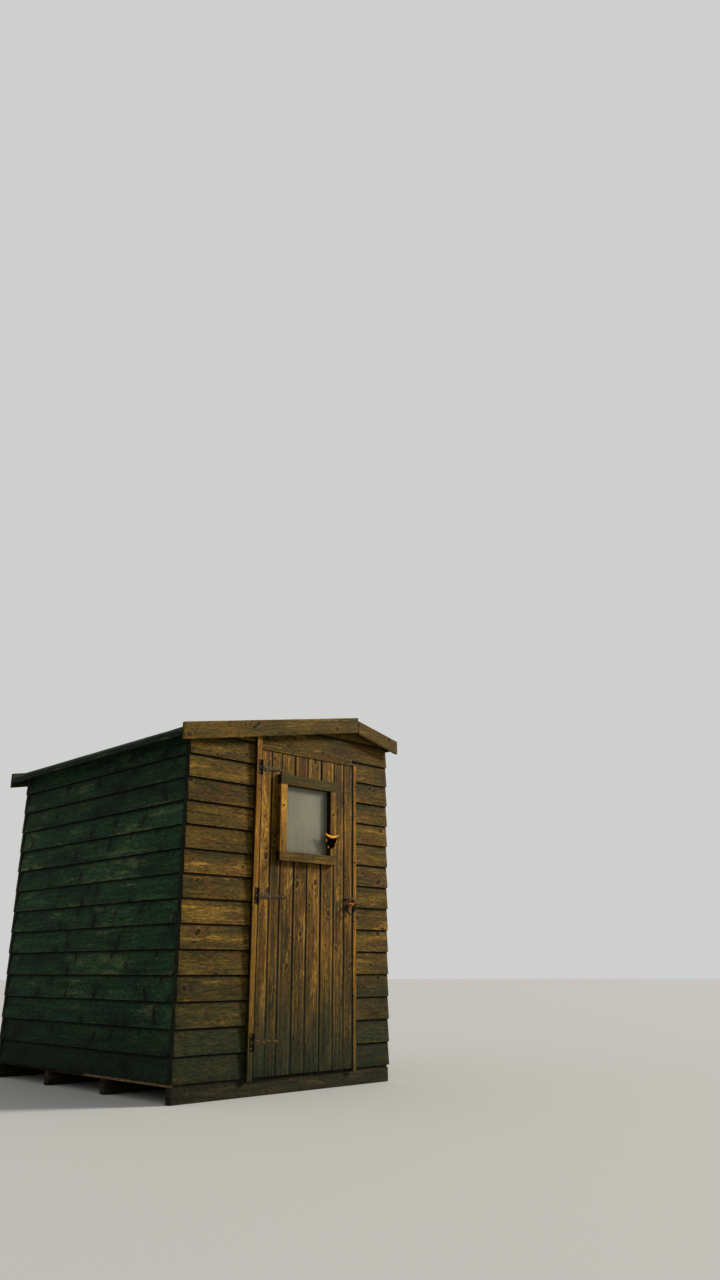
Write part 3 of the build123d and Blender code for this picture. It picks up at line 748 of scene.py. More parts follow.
# Posts beside the doorway: planed softwood nailed over the ends of the front boards. They
# stand out, and their bright orange is the worn stain with painted sunlight.
sunlit_post_wood = softwood(
    "post_stain", pale=(166, 119, 36), deep=(110, 79, 23), worn=(206, 154, 62),
    knot=(50, 27, 12), ruddy=(134, 82, 23), wear=0.55, figure=0.35, mottle=0.36,
    knot_size=(0.008, 0.012), knot_room=(0.26, 0.05), halo=0.2, smoke=0.4, damp_and_shade=ALGAE_AND_SHADE,
    damp_and_shade_height=0.66, shaded_sides=0.88, rough=0.72)


def planed(name, node, material, along, face, seed, body, arris, **options):
    """One planed length of trim in place of its node."""
    plank = timber(material, *corners(node), along, face, seed, **options)
    build(name, [plank], "trim", node, body=body, arris=arris)


for side, seed in (("left", 320), ("right", 322)):
    planed(f"post_{side}", f"door_post_{side}", sunlit_post_wood, AXIS_Z, -AXIS_Y, seed, "root", 0.0016,
           bow=0.0009, ragged=0.0004)

# Roof timbers: boards from eave to ridge, two purlins under them, and battens round the
# edges that the bargeboards and the turned felt are nailed to.
DECK_THICKNESS = 0.012
DECK_BOARD = 0.098
DECK_GAP = 0.001
PURLIN_WIDTH = 0.034
PURLIN_DEPTH = 0.060
PURLIN_SPARE = 0.012
BATTEN = 0.028
BATTEN_GAP = 0.001
deck_low, deck_high = corners("roof_deck_left")
DECK_LENGTH = deck_high.y - deck_low.y
EAVE_LEFT = deck_low.x
EAVE_RIGHT = corners("roof_deck_right")[1].x
for side, start, end, slope, seed in (("left", EAVE_LEFT, deck_high.x, LEFT_PITCH, 330),
                                      ("right", deck_high.x, EAVE_RIGHT, -RIGHT_PITCH, 340)):
    corner = Vector((start, deck_low.y, roof_height(start, DECK_DROP - DECK_THICKNESS)))
    boarding(f"deck_planks_{side}", f"roof_deck_{side}", bare_timber_shaded_outside, corner,
             (slope_ways(slope)[0], AXIS_Y), (end - start) / math.cos(slope), DECK_LENGTH,
             DECK_THICKNESS, DECK_BOARD, DECK_GAP, seed, 0.0008, bow=0.0003, ragged=0.0002)
low, high = corners("roof_purlins")
purlins = []
for x, seed in ((low.x, 350), (high.x - PURLIN_WIDTH, 352)):
    foot = min(roof_height(x, DECK_DROP), roof_height(x + PURLIN_WIDTH, DECK_DROP)) - PURLIN_DEPTH
    purlin = (x, low.y, foot), (x + PURLIN_WIDTH, high.y, foot + PURLIN_DEPTH + PURLIN_SPARE)
    purlins.append(timber(bare_timber_shaded_outside, *purlin, AXIS_Y, -AXIS_X, seed))
build("purlins", purlins, "bare_timber", "roof_purlins", cuts=under_deck)
for side, slope, seed in (("left", LEFT_PITCH, 360), ("right", -RIGHT_PITCH, 366)):
    low, high = corners(f"roof_battens_{side}")
    along, across = slope_ways(slope)
    rods = [sloped(bare_timber_shaded_outside, (low.x, high.x), (y, y + BATTEN), slope, DECK_DROP, BATTEN,
                   seed + number, across=4) for number, y in enumerate((low.y, high.y - BATTEN))]
    eave = low.x if side == "left" else high.x - BATTEN
    corner = Vector((eave, low.y + BATTEN + BATTEN_GAP, roof_height(eave, DECK_DROP + BATTEN)))
    if side == "left":
        corner += along * BATTEN
    length = high.y - low.y - 2 * (BATTEN + BATTEN_GAP)
    rod = boards(bare_timber_shaded_outside, length, BATTEN, BATTEN, seed + 4, across=3)
    rods.append((rod, laid(corner, AXIS_Y, across)))
    build(f"edge_battens_{side}", rods, "bare_timber", f"roof_battens_{side}")

# Bargeboards: planed boards along both slopes of each gable, nailed to the battens. The
# joint at the ridge stands open and the right ones sit lower.
BARGES = (("left", LEFT_PITCH, 0.0, 0.092), ("right", -RIGHT_PITCH, 0.012, 0.079))
barge_look = {"figure": 0.32, "mottle": 0.5, "knot_size": (0.014, 0.012), "knot_room": (0.26, 0.085)}
# The front bargeboards are golden brown with painted sunlight; the back ones are a shaded copy of the same
# stain, dark green with painted shade.
sunlit_barge_wood = softwood(
    "bargeboard_stain", pale=(98, 77, 22), deep=(64, 54, 16), worn=(140, 106, 38),
    knot=(40, 26, 11), ruddy=(102, 72, 22), wear=0.42, knot_share=0.6, halo=0.25,
    gash=((-0.359, 1.903), (-0.314, 1.941), 0.013), rough=0.72, **barge_look)
shaded_barge_wood = softwood(
    "shaded_bargeboard_stain", pale=(46, 64, 38), deep=(24, 37, 22),
    worn=(82, 84, 46), knot=(14, 18, 9), ruddy=(66, 58, 28), wear=0.36,
    knot_share=0.6, halo=0.2, rough=0.76, **barge_look)
for end, wood, seed in (("front", sunlit_barge_wood, 370), ("back", shaded_barge_wood, 376)):
    for side, slope, drop, width in BARGES:
        node = f"bargeboard_{end}_{side}"
        low, high = corners(node)
        spare = width * abs(math.sin(slope))
        plank = sloped(wood, (low.x - spare, high.x + spare), (low.y, high.y), slope, drop, width,
                       seed + (side == "left"), end == "back", bow=0.0008, ragged=0.0005, segment=0.03)
        plumb = [(low, -AXIS_X), (high, AXIS_X)]
        build(node + "_plank", [plank], "bargeboards", node, arris=0.0015, cuts=plumb)

# Door leaf: eight upright boards, tongued together with a V groove at each joint, held by
# three ledges and a brace on the back. The stain is worn and the rings stand out; its golden
# colour is painted sunlight.
DOOR_BOARD_WIDTHS = (0.075, 0.075, 0.101, 0.098, 0.106, 0.101, 0.082, 0.070)
GROOVE = 0.0028
WIDE_JOINT = 0.0034
NARROW_JOINT = 0.0008
JOINTS = (0, NARROW_JOINT, *(WIDE_JOINT,) * 5, NARROW_JOINT, 0)
TONGUE = 0.007
TONGUE_DEPTHS = (0.0045, 0.0085)
TONGUE_SETBACK = 0.001
CUT_SPARE = 0.01
LEDGE_HEIGHT = 0.090
LEDGE_BELOW_WINDOW = 0.195
BRACE_WIDTH = 0.080
sunlit_door_wood = softwood(
    "sunlit_door_stain", pale=(128, 93, 28), deep=(47, 39, 13), worn=(172, 127, 48),
    knot=(38, 21, 7), ruddy=(98, 60, 17), wear=0.45, figure=0.6, mottle=0.62,
    knot_size=(0.016, 0.011), knot_room=(0.26, 0.07), knot_share=0.55, halo=0.3, smoke=0.45,
    damp_and_shade=ALGAE_AND_SHADE, damp_and_shade_height=0.85, shaded_sides=0.85, groove_dirt_and_shade=0.0075, bare=BARE, rough=0.72)
# The tongues seen in the open joints are nearly black: painted shade in the joints.
shaded_tongue_wood = softwood(
    "tongue_painted_shade", pale=(26, 22, 12), deep=(14, 14, 8), worn=(34, 26, 14),
    knot=(12, 9, 5), rough=0.85)
ledge_wood = softwood(
    "ledge_timber", pale=(160, 128, 86), deep=(122, 96, 62), worn=(176, 146, 104),
    knot=BARE_KNOT, wear=0.5, figure=0.45, rough=0.85)


def pierced(part, low, high):
    """The board with the box-shaped hole from low to high cut through it."""
    mesh, place = part
    mesh.transform(place)
    form = bmesh.new()
    block = Matrix.Translation((low + high) / 2) @ Matrix.Diagonal((*(high - low), 1))
    bmesh.ops.create_cube(form, size=1, matrix=block)
    board, cutter = stand("board", mesh), new_piece("cutter", form)
    carve = board.modifiers.new("carve", "BOOLEAN")
    carve.operation = "DIFFERENCE"
    carve.object = cutter
    carved = finished_mesh(board)
    for spent in (board, cutter):
        bpy.data.objects.remove(spent)
    return carved, Matrix()


leaf_low, leaf_high = corners("door_boards")
glass_low, glass_high = corners("window_glass")
hole = (Vector((glass_low.x, leaf_low.y - CUT_SPARE, glass_low.z)),
        Vector((glass_high.x, leaf_high.y + CUT_SPARE, glass_high.z)))
scale = (leaf_high.x - leaf_low.x) / sum(DOOR_BOARD_WIDTHS)
leaf = []
tongues = []
edge = leaf_low.x
for number, width in enumerate(DOOR_BOARD_WIDTHS):
    start = edge + JOINTS[number] / 2
    edge += width * scale
    end = edge - JOINTS[number + 1] / 2
    board = (start, leaf_low.y, leaf_low.z), (end, leaf_high.y, leaf_high.z)
    board = timber(sunlit_door_wood, *board, AXIS_Z, -AXIS_Y, 400 + number, bow=0.0004, ragged=0.0003)
    over_hole = start < glass_high.x and end > glass_low.x
    leaf.append(pierced(board, *hole) if over_hole else board)
    if JOINTS[number + 1]:
        tongue = [(edge + way * TONGUE, leaf_low.y + depth, height - way * TONGUE_SETBACK)
                  for way, depth, height in zip((-1, 1), TONGUE_DEPTHS, (leaf_low.z, leaf_high.z))]
        tongue = timber(shaded_tongue_wood, *tongue, AXIS_Z, -AXIS_Y, 410 + number, bow=0.0001,
                        ragged=0.0001, across=3)
        over_hole = glass_low.x - TONGUE < edge < glass_high.x + TONGUE
        tongues.append(pierced(tongue, *hole) if over_hole else tongue)
build("door_planks", leaf, "door_boards", "door_boards", body="door", arris=GROOVE)
build("door_tongues", tongues, "door_boards", body="door", arris=0)

low, high = corners("door_ledges")
ledge_middles = (low.z + LEDGE_HEIGHT / 2, corners("window_frame_bottom")[0].z - LEDGE_BELOW_WINDOW,
                 high.z - LEDGE_HEIGHT / 2)
ledges = timbers(ledge_wood, [
    ((low.x, low.y, middle - LEDGE_HEIGHT / 2), (high.x, high.y, middle + LEDGE_HEIGHT / 2))
    for middle in ledge_middles], AXIS_X, AXIS_Y, 420, bow=0.0003)
foot = Vector((low.x, high.y, ledge_middles[0] + LEDGE_HEIGHT / 2))
head = Vector((high.x - BRACE_WIDTH, high.y, ledge_middles[1] - LEDGE_HEIGHT / 2))
along = (head - foot).normalized()
brace = boards(ledge_wood, (head - foot).length + 2 * BRACE_WIDTH, BRACE_WIDTH * along.z,
               high.y - low.y, 426, bow=0.0003)
brace = (brace, laid(foot - along * BRACE_WIDTH, along, along.cross(-AXIS_Y)))
ends = [(foot, -AXIS_Z), (head, AXIS_Z), (low, -AXIS_X), (high, AXIS_X)]
eased = [join("ledges", ledges, arris=0.0025), join("brace", [brace], arris=0.0025, cuts=ends)]
build("door_ledges_and_brace", [(part.data, Matrix()) for part in eased], "bare_timber",
      "door_ledges", body="door", arris=0)
for spent in eased:
    bpy.data.objects.remove(spent)

# Window frame: four planed members screwed on the leaf's face round the opening. The pane
# is seated behind them and held by beads, and it is dull with dust.
BEAD = 0.014
RIM_OF_DIRT = 0.012
frame_look = {"knot_size": (0.007, 0.009), "knot_room": (0.24, 0.06), "mottle": 0.4, "rough": 0.74}
frame_wood = softwood(
    "window_frame_stain", pale=(106, 80, 24), deep=(58, 48, 15), worn=(146, 108, 36),
    knot=(38, 21, 10), ruddy=(94, 60, 18), wear=0.42, figure=0.4, shaded_sides=0.88,
    gash=((0.110, 1.184), (0.1105, 1.222), 0.0026), **frame_look)
# The left stile is a lit copy of the frame's stain: painted sunlight makes it paler and more golden.
sunlit_stile_wood = softwood(
    "sunlit_window_stile_stain", pale=(168, 120, 40), deep=(110, 80, 26),
    worn=(200, 146, 58), knot=(52, 28, 12), ruddy=(136, 78, 24), wear=0.5,
    figure=0.3, mottle=0.3, knot_size=(0.006, 0.009), knot_room=(0.22, 0.05), shaded_sides=0.75,
    rough=0.72)
olive_wood = softwood(
    "window_head_stain", pale=(80, 70, 22), deep=(46, 45, 15), worn=(126, 96, 34),
    knot=(30, 20, 8), ruddy=(84, 58, 20), wear=0.4, figure=0.35, shaded_sides=0.75,
    **frame_look)
for side, along, seed, wood in (("left", AXIS_Z, 430, sunlit_stile_wood), ("right", AXIS_Z, 431, frame_wood),
                                ("top", AXIS_X, 432, olive_wood), ("bottom", AXIS_X, 433, frame_wood)):
    planed(f"window_member_{side}", f"window_frame_{side}", wood, along, -AXIS_Y, seed, "door",
           0.0018, bow=0.0004, ragged=0.0003, segment=0.03)
low, high = corners("glazing_beads")
left, right = low.x + BEAD, high.x - BEAD
beads = []
for along, seed, spans in (
        (AXIS_Z, 440, ((low.x, left, low.z, high.z), (right, high.x, low.z, high.z))),
        (AXIS_X, 442, ((left, right, low.z, low.z + BEAD), (left, right, high.z - BEAD, high.z)))):
    beads += timbers(ledge_wood, [
        ((start, low.y, foot), (end, high.y, head)) for start, end, foot, head in spans],
        along, AXIS_Y, seed, bow=0.0002, ragged=0.0002)
build("pane_beads", beads, "bare_timber", "glazing_beads", body="door", arris=0.002)


dusty = new_material("dusty_glass")
here = object_place(dusty)
film = cloud(here, (5, 5, 4), 5.0, 0.6)
dust = cloud(here, (70, 70, 3.5)) * 0.35 + film * 0.65
from_edge = []
for axis in (0, 2):
    middle = (glass_low[axis] + glass_high[axis]) / 2
    half = (glass_high[axis] - glass_low[axis]) / 2 - RIM_OF_DIRT
    from_edge.append(half - maths("ABSOLUTE", here.axis(axis) - middle))
rim = step(film * -0.05 + maths("MINIMUM", *from_edge), 0.012, -0.024)
specks = step(cloud(here, (160, 160, 160), 2.0), 0.64, 0.72)
colour = mix(step(dust, 0.30, 0.70), (106, 103, 81), (122, 118, 93))
colour = mix(specks * 0.5, mix(rim * 0.4, colour, (80, 78, 60)), (92, 88, 70))
inputs = {"Base Color": colour, "Roughness": dust * 0.25 + 0.16, "Transmission Weight": 0.22, "IOR": 1.5}
surface(dusty, inputs, film, 0.25, 0.0008)
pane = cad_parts["window_glass"]
pane.data.materials.clear()
pane.data.materials.append(dusty)

# Ironwork: tee hinges, the ring latch with its arm and keep, and the window's catch. They
# are black iron that has rusted, and the hinges are held by slotted screws.
IRON_THICKNESS = 0.0025
STRAP_LENGTHS = (0.158, 0.200, 0.155)
STRAP_HOLES = ((0.16, 0.006), (0.40, -0.004), (0.62, 0.003), (0.86, 0))
PLATE_HOLES = ((-0.030, 0.007), (0.0, 0.012), (0.030, 0.007))
CATCH_REACH = 0.047
CATCH_DROP = 0.080
LEVER_DEPTH = 0.0058
LEVER_TOP = 0.018
HEAD_TILT = 0.06
catch_low, catch_high = corners("window_catch")


def iron(name, dark, rust, share, rough=0.55, glint=0.5, amber_tips=False):
    """Pitted iron, blackened and then rusted in blooms."""
    material = new_material(name)
    here = object_place(material)
    bloom = cloud(here, (34, 34, 34), 5.0, 0.62)
    pits = cloud(here, (260, 260, 260), 3.0, 0.6)
    rusty = step(pits * 0.35 + bloom * 0.65, 0.66 - 0.3 * share, 0.76 - 0.3 * share)
    colour = mix(rusty, (bloom * 0.9 + 0.55) * shade(*dark), (pits * 1.3 + 0.35) * shade(*rust))
    # with amber_tips, the outer ends of the catch's lobes turn amber
    if amber_tips:
        middle = ((catch_low.x + catch_high.x) / 2, 0, catch_low.z + CATCH_DROP)
        spread = maths("LENGTH", (here - middle) * (1 / CATCH_REACH, 0, 1 / CATCH_DROP))
        colour = mix(step(spread, 0.80, 0.90), colour, (206, 132, 46))
    inputs = {"Base Color": colour, "Roughness": rusty * (0.9 - rough) + rough,
              "Metallic": rusty * -glint + glint, "Specular IOR Level": 0.5 * glint}
    return surface(material, inputs, pits * 0.7 + rusty * 0.6, 0.7, 0.0006)


def dressed(name, node, material):
    """The node's form with its arrises worn round."""
    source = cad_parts[node]
    form = bmesh.new()
    form.from_mesh(source.data)
    form.transform(source.matrix_world)
    bmesh.ops.remove_doubles(form, verts=form.verts, dist=1e-6)
    bmesh.ops.dissolve_limit(form, angle_limit=math.radians(1), verts=form.verts, edges=form.edges)
    return new_piece(name, form, material, 0.0005, sharp=40, roundness=0.5, crease=30)


black_iron = iron("black_iron", (23, 23, 18), (72, 47, 24), 0.3, glint=0.15)
strap_iron = iron("strap_iron", (50, 41, 24), (98, 66, 28), 0.5, glint=0.1)
rusty_iron = iron("rusty_iron", (84, 58, 28), (176, 98, 26), 0.85, glint=0.2)
catch_iron = iron("catch_iron", (9, 7, 6), (48, 26, 12), 0.1, 0.7, 0.0, amber_tips=True)
amber_metal = iron("amber_metal", (178, 118, 16), (214, 124, 10), 0.55, rough=0.42)
bright_steel = iron("bright_steel", (112, 98, 68), (98, 66, 34), 0.5, glint=0.5)
nail_iron = iron("nail_iron", (78, 72, 66), (112, 66, 36), 0.55, glint=0.4)
for name, node, material, body, slot in (
        ("hinge_post_plates", "hinge_plates", black_iron, "root", "iron"),
        ("hinge_strap_blades", "hinge_straps", strap_iron, "door", "iron"),
        ("latch_back_plate_and_arm", "door_latch", strap_iron, "door", "iron"),
        ("latch_turning_knob", "latch_knob", rusty_iron, "door", "rusty_iron"),
        ("latch_pull_ring", "latch_ring", black_iron, "door", "iron"),
        ("latch_post_keep", "latch_keep", black_iron, "root", "iron")):
    fit(dressed(name, node, material), body, slot, node)
catch = dressed("catch_plate_and_lever", "window_catch", catch_iron)
catch.data.materials.append(amber_metal)
for face in catch.data.polygons:
    if face.center.y < catch_low.y + LEVER_DEPTH or face.center.z > catch_high.z - LEVER_TOP:
        face.material_index = 1
fit(catch, "door", "catch_metal", "window_catch")


def fixing_tree():
    """Node tree that sets a head on every point of the holder, each turned its own way."""
    tree, given = new_tree("fixing_heads", Points="Geometry", Head="Object", Turn="Float",
                           Tilt="Float", Seed="Int", Material="Material")
    head = add(tree, "GeometryNodeObjectInfo", {"Object": given["Head"]}, "Geometry")
    most = triple(given["Tilt"], given["Turn"], given["Tilt"])
    turned = add(tree, "FunctionNodeRandomValue", {0: most * -1.0, 1: most, "Seed": given["Seed"]},
                 data_type="FLOAT_VECTOR")
    size = add(tree, "FunctionNodeRandomValue", {2: 0.9, 3: 1.1, "Seed": given["Seed"]}, 1,
               data_type="FLOAT")
    set_out = {"Points": given["Points"], "Instance": head, "Scale": size,
               "Rotation": add(tree, "FunctionNodeEulerToRotation", {0: turned})}
    heads = add(tree, "GeometryNodeInstanceOnPoints", set_out)
    heads = add(tree, "GeometryNodeRealizeInstances", {0: heads})
    heads = add(tree, "GeometryNodeSetMaterial", {"Geometry": heads, "Material": given["Material"]})
    add(tree, "NodeGroupOutput", {0: heads})
    return tree


FIXING_HEADS = fixing_tree()


def loft(form, rings):
    """Faces between each ring of corners and the next, and one over the last."""
    rings = [[form.verts.new(corner) for corner in ring] for ring in rings]
    for first, second in zip(rings, rings[1:]):
        for number in range(len(first)):
            form.faces.new((first[number - 1], first[number], second[number], second[number - 1]))
    form.faces.new(rings[-1])
    bmesh.ops.recalc_face_normals(form, faces=form.faces)


def ring(radius, out, sides):
    """Corners round a circle that stands out towards -Y."""
    turns = [math.tau * number / sides for number in range(sides)]
    return [(radius * math.cos(turn), -out, radius * math.sin(turn)) for turn in turns]


def nail_head(name, radius, height):
    """A flat head with a rounded edge."""
    form = bmesh.new()
    loft(form, [ring(radius * share, height * out, 10) for share, out in ((1, 0), (1, 0.45), (0.72, 1))])
    return new_piece(name, form)


def screw_head(name, radius, height, slot):
    """Two half discs beside a slot, on a thinner disc."""
    form = bmesh.new()
    loft(form, [ring(radius, out, 16) for out in (0, height * 0.45)])
    corner = math.asin(slot / 2 / radius)
    for side in (1, -1):
        loft(form, [[(radius * share * math.cos(turn), -height * out,
                      side * max(radius * share * math.sin(turn), slot / 2))
                     for turn in spaced(corner, math.pi - corner, 9)]
                    for share, out in ((0.98, 0.45), (0.86, 1))])
    return new_piece(name, form)


def heads(head, points, place, seed, material=nail_iron):
    """Heads at points given as (along, depth, across) on a placed face."""
    holder = bpy.data.meshes.new("points")
    holder.from_pydata(points, [], [])
    return grow(FIXING_HEADS, holder, Head=head, Turn=math.pi, Tilt=HEAD_TILT, Seed=seed,
                Material=material), place


def fasten(name, body, *parts):
    """The heads as one piece that rides on its body."""
    build(name, parts, "iron", body=body, arris=0)


SCREW = screw_head("screw", 0.0042, 0.0016, 0.0011)
SMALL_SCREW = screw_head("small_screw", 0.0032, 0.0012, 0.0009)
POST_FACE = corners("door_post_left")[0].y
leaf_place = laid(Vector((leaf_low.x, 0, 0)), AXIS_X, AXIS_Z)
points = [(length * share, leaf_low.y - IRON_THICKNESS, middle + rise)
          for middle, length in zip(ledge_middles, STRAP_LENGTHS) for share, rise in STRAP_HOLES]
fasten("strap_screws", "door", heads(SCREW, points, leaf_place, 500, bright_steel))
points = [(aside, POST_FACE - IRON_THICKNESS, middle + rise)
          for middle in ledge_middles for rise, aside in PLATE_HOLES]
place = laid(Vector((corners("hinge_plates")[0].x, 0, 0)), AXIS_X, AXIS_Z)
fasten("plate_screws", "root", heads(SMALL_SCREW, points, place, 502, bright_steel))

# Roofing felt: sheets laid from the eave upwards, each lapped over the one below, with a
# cap along the ridge. They are turned down over the eaves and nailed under a thin lath.
FELT = 0.0025
FELT_DROP = 0.025
FELT_BED = 0.028
TURN_DOWN = 0.034
FELT_LAP = 0.080
LOWER_SHEET = 0.800
LAP_LIFT = FELT + 0.0005
CAP_LIFT = FELT + 0.0012
CAP_HALF = 0.140
EAVE_SETBACK = 0.003
RIDGE_SETBACK = 0.002
GABLE_SETBACK = 0.001
LAP_FALL = 0.03
mineral = new_material("mineral_felt")
here = object_place(mineral)
grit = cloud(here, (900, 900, 900), 2.0, 0.7)
bald = step(cloud(here, (7, 5, 7), 5.0, 0.68), 0.38, 0.62)
runs = step(cloud(here, (2.2, 26, 2.2), 4.0, 0.6), 0.54, 0.66)
moss = cloud(here, (15, 15, 15), 5.0, 0.7)
colour = mix(bald, (30, 38, 32), (52, 60, 50))
colour = mix(runs * 0.5, colour, (76, 78, 62))
colour = mix(step(moss, 0.63, 0.70) * 0.8, colour, (52, 62, 28))
inputs = {"Base Color": colour * (grit * 1.5 + 0.25), "Roughness": 0.93}
surface(mineral, inputs, grit * 0.5 + moss * 0.5, 0.9, 0.0012)


def uneven(*place):
    """A smooth stray between about -1 and 1."""
    return noise.noise(Vector(place))


def felt_sheet(stations, seed, eave=None, way=0):
    """A sheet laid over stations (x, lift above its bed), turned down at an eave.

    eave is the x of the turned edge, and way, -1 or 1, is the way that the edge looks.
    """
    form = bmesh.new()
    grid = []
    for y in spaced(*felt_range, round((felt_range[1] - felt_range[0]) / 0.03) + 1):
        row = []
        if way:
            hem = TURN_DOWN - 0.003 + 0.004 * uneven(seed, y * 5, 0) + 0.002 * uneven(seed, y * 23, 0)
            for fall, out in ((hem, 0.0), (TURN_DOWN * 0.5, 0.0), (0.006, 0.0004), (0.002, -0.001)):
                row.append((eave + way * out, y, roof_height(eave, FELT_DROP) - FELT - fall))
        for x, lift in stations:
            ripple = uneven(x * 3 + seed, y * 4, 0) + 0.5 * uneven(x * 9, y * 13, seed)
            stray = 0.0
            if (x, lift) in (stations[0], stations[-1]):
                stray = 0.002 * uneven(seed + 7, y * 9, x)
            row.append((x + stray, y, roof_height(x, FELT_BED) + lift + 0.0007 * (1 + ripple)))
        grid.append([form.verts.new(corner) for corner in row])
    for first, second in zip(grid, grid[1:]):
        for number in range(len(first) - 1):
            form.faces.new((first[number], first[number + 1], second[number + 1], second[number]))
    bmesh.ops.recalc_face_normals(form, faces=form.faces)
    if sum(face.normal.z for face in form.faces) < 0:
        bmesh.ops.reverse_faces(form, faces=form.faces)
    bmesh.ops.solidify(form, geom=form.faces, thickness=-FELT)
    mesh = bpy.data.meshes.new("sheet")
    form.to_mesh(mesh)
    form.free()
    mesh.materials.append(mineral)
    return mesh, Matrix()


def stations(start, end, lift=0.0, spacing=0.05):
    """Places (x, lift) across a slope."""
    count = max(2, round(abs(end - start) / spacing))
    return [(x, lift) for x in spaced(start, end, count + 1)]


felt_range = (deck_low.y + GABLE_SETBACK, deck_high.y - GABLE_SETBACK)
FELT_RIDGE = corners("roof_felt_left")[1].x
LAP_END = EAVE_LEFT + LOWER_SHEET
LAP_START = LAP_END - FELT_LAP
lower = felt_sheet(stations(EAVE_LEFT + EAVE_SETBACK, LAP_END), 1.0, EAVE_LEFT, -1)
upper = felt_sheet(stations(LAP_START, LAP_END, LAP_LIFT, 0.02)
                   + stations(LAP_END + LAP_FALL, FELT_RIDGE - RIDGE_SETBACK), 2.0)
right = felt_sheet(stations(EAVE_RIGHT - EAVE_SETBACK, FELT_RIDGE + RIDGE_SETBACK), 3.0,
                   EAVE_RIGHT, 1)
cap = felt_sheet(stations(FELT_RIDGE - CAP_HALF, FELT_RIDGE, CAP_LIFT, 0.02)
                 + stations(FELT_RIDGE, FELT_RIDGE + CAP_HALF, CAP_LIFT, 0.02)[1:], 4.0)
for name, node, sheets in (("felt_left_sheets", "roof_felt_left", [lower, upper]),
                           ("felt_right_sheet", "roof_felt_right", [right]),
                           ("felt_cap_sheet", "felt_ridge_cap", [cap])):
    build(name, sheets, "roof_felt", node, arris=0)
# The laths are dark green: the stain with painted shade.
shaded_lath_wood = softwood(
    "lath_stain", pale=(30, 44, 29), deep=(16, 24, 16), worn=(76, 74, 48),
    knot=(12, 16, 9), wear=0.38, figure=0.4, knot_size=(0.006, 0.008), knot_room=(0.5, 0.05),
    rough=0.8)
for side, face, seed in (("left", -AXIS_X, 450), ("right", AXIS_X, 452)):
    planed(f"lath_{side}", f"eave_lath_{side}", shaded_lath_wood, AXIS_Y, face, seed, "root", 0.001,
           bow=0.0016, ragged=0.0008, across=3)

# Nails: round heads in the wall boards over each stud, bigger clout nails along the felt's
# laps and edges, and pairs of nails in the bargeboards, posts and door boards.
NAIL_RISE = 0.028
NAIL_CLEAR = 0.015
BOARD_SEAT = 0.0002
TRIM_SEAT = 0.0003
CORNER_NAILS = 0.016
GABLE_ROWS = 16
CLOUTS_IN_ROW = 38
CLOUT_SPACING = 0.075
CLOUT_ROW_END = 0.03
CLOUT_EDGE = 0.022
CLOUTS_FROM_LAP = 0.02
LAP_SEAT = -0.0005
EDGE_SEAT = 0.0020
BARGE_NAIL_SPACING = 0.30
BARGE_NAIL_SHARES = (0.30, 0.72)
BARGE_ENDS = (EAVE_LEFT + 0.03, RIDGE_X - 0.04), (RIDGE_X + 0.03, EAVE_RIGHT - 0.03)
DOOR_NAIL_PAIR = ((0.30, 0.022), (0.68, -0.022))
POST_NAILS = 7
POST_NAIL_END = 0.06
POST_NAIL_STAGGER = 0.004
NAIL = nail_head("nail", 0.0026, 0.0009)
CLOUT = nail_head("clout", 0.0050, 0.0012)
OVAL = nail_head("oval", 0.0022, 0.0007)


def wall_nails(columns, rows):
    """Points on lapped boards. columns are pairs: place along the wall and its height there."""
    points = []
    for column, top in columns:
        for row in range(rows):
            rise = row * COURSE + NAIL_RISE + random.uniform(-0.004, 0.004)
            if FLOOR_TOP + rise < top - NAIL_CLEAR:
                depth = NAIL_RISE * BUTT / COURSE + BOARD_SEAT
                points.append((column + random.uniform(-0.005, 0.005), depth, rise))
    return points


random.seed(21)
low, high = corners("left_wall")
parts = []
for side in ("left", "right"):
    top = corners(f"{side}_wall")[1].z
    columns = [(column, top) for column in spaced(CORNER_NAILS, high.y - low.y - CORNER_NAILS, 5)]
    parts.append(heads(NAIL, wall_nails(columns, rows_up_to(top)), wall_places[side], 510))
over_back_studs = [x + STUD / 2 for x in back_studs]
over_front_studs = (WALLS_LEFT + STUD / 2, DOORWAY_LEFT - STUD * 0.75, DOORWAY_RIGHT + STUD,
                    WALLS_RIGHT - STUD / 2)
front_place = laid(Vector((WALLS_LEFT, FRONT_FACE, FLOOR_TOP)), AXIS_X, AXIS_Z)
for centres, start, place, seed in ((over_back_studs, WALLS_RIGHT, wall_places["back"], 512),
                                    (over_front_studs, WALLS_LEFT, front_place, 514)):
    columns = [(abs(x - start), roof_height(x, DECK_DROP)) for x in centres]
    parts.append(heads(NAIL, wall_nails(columns, GABLE_ROWS), place, seed))
fasten("wall_nails", "root", *parts)

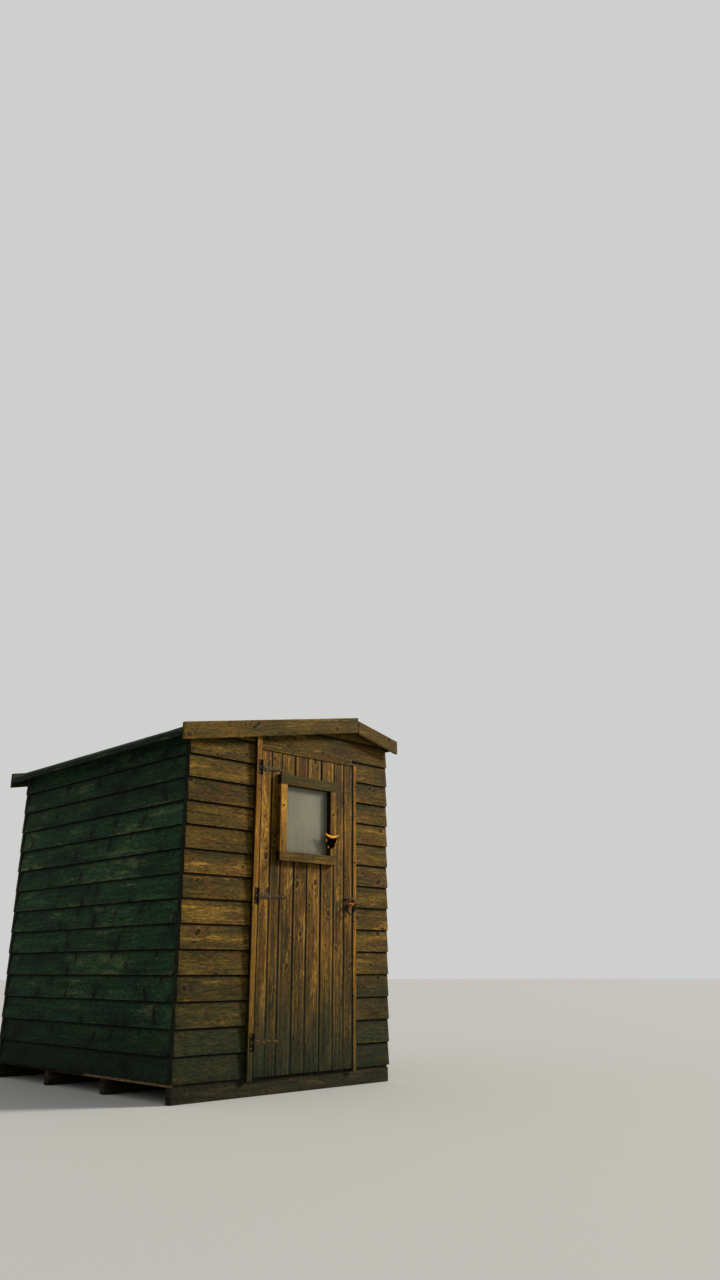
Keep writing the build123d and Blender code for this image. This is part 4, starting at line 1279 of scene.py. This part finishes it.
parts = []
for slope, start, end, rows in (
        (LEFT_PITCH, EAVE_LEFT, FELT_RIDGE,
         (FELT_RIDGE - CAP_HALF + CLOUTS_FROM_LAP, LAP_START + CLOUTS_FROM_LAP)),
        (-RIGHT_PITCH, FELT_RIDGE, EAVE_RIGHT, (FELT_RIDGE + CAP_HALF - CLOUTS_FROM_LAP,))):
    points = []
    for x in rows:
        for y in spaced(CLOUT_ROW_END, DECK_LENGTH - CLOUT_ROW_END, CLOUTS_IN_ROW):
            along = (x - start) / math.cos(slope) + random.uniform(-0.003, 0.003)
            points.append((along, LAP_SEAT, y))
    for y in (CLOUT_EDGE, DECK_LENGTH - CLOUT_EDGE):
        for number in range(1, round((end - start) / CLOUT_SPACING)):
            along = number * CLOUT_SPACING / math.cos(slope)
            points.append((along, EDGE_SEAT, y + random.uniform(-0.003, 0.003)))
    corner = Vector((start, deck_high.y, roof_height(start, FELT_DROP - 0.003)))
    parts.append(heads(CLOUT, points, laid(corner, slope_ways(slope)[0], -AXIS_Y), 520))
fasten("felt_nails", "root", *parts)

parts = []
for way, face in ((1, corners("bargeboard_front_left")[0].y), (-1, corners("bargeboard_back_left")[1].y)):
    points = []
    for (_, _, drop, width), (start, stop) in zip(BARGES, BARGE_ENDS):
        for x in spaced(start, stop, max(2, round((stop - start) / BARGE_NAIL_SPACING)) + 1):
            for share in BARGE_NAIL_SHARES:
                points.append((way * x + random.uniform(-0.004, 0.004), TRIM_SEAT,
                               roof_height(x, drop + width * share)))
    parts.append(heads(OVAL, points, laid(Vector((0, face, 0)), AXIS_X * way, AXIS_Z), 530))
fasten("bargeboard_nails", "root", *parts)

points = []
edge = 0.0
for width in DOOR_BOARD_WIDTHS:
    for middle in ledge_middles:
        for share, rise in DOOR_NAIL_PAIR:
            points.append((edge + width * scale * share, leaf_low.y + BOARD_SEAT, middle + rise))
    edge += width * scale
fasten("door_nails", "door", heads(OVAL, points, leaf_place, 540))
points = []
for side in ("left", "right"):
    low, high = corners(f"door_post_{side}")
    middle = (low.x + high.x) / 2
    for number, z in enumerate(spaced(low.z + POST_NAIL_END, high.z - POST_NAIL_END, POST_NAILS)):
        points.append((middle + POST_NAIL_STAGGER * (-1) ** number, POST_FACE + TRIM_SEAT, z))
fasten("post_nails", "root", heads(OVAL, points, laid(Vector(), AXIS_X, AXIS_Z), 550))
for pattern in (SCREW, SMALL_SCREW, NAIL, CLOUT, OVAL):
    bpy.data.objects.remove(pattern)
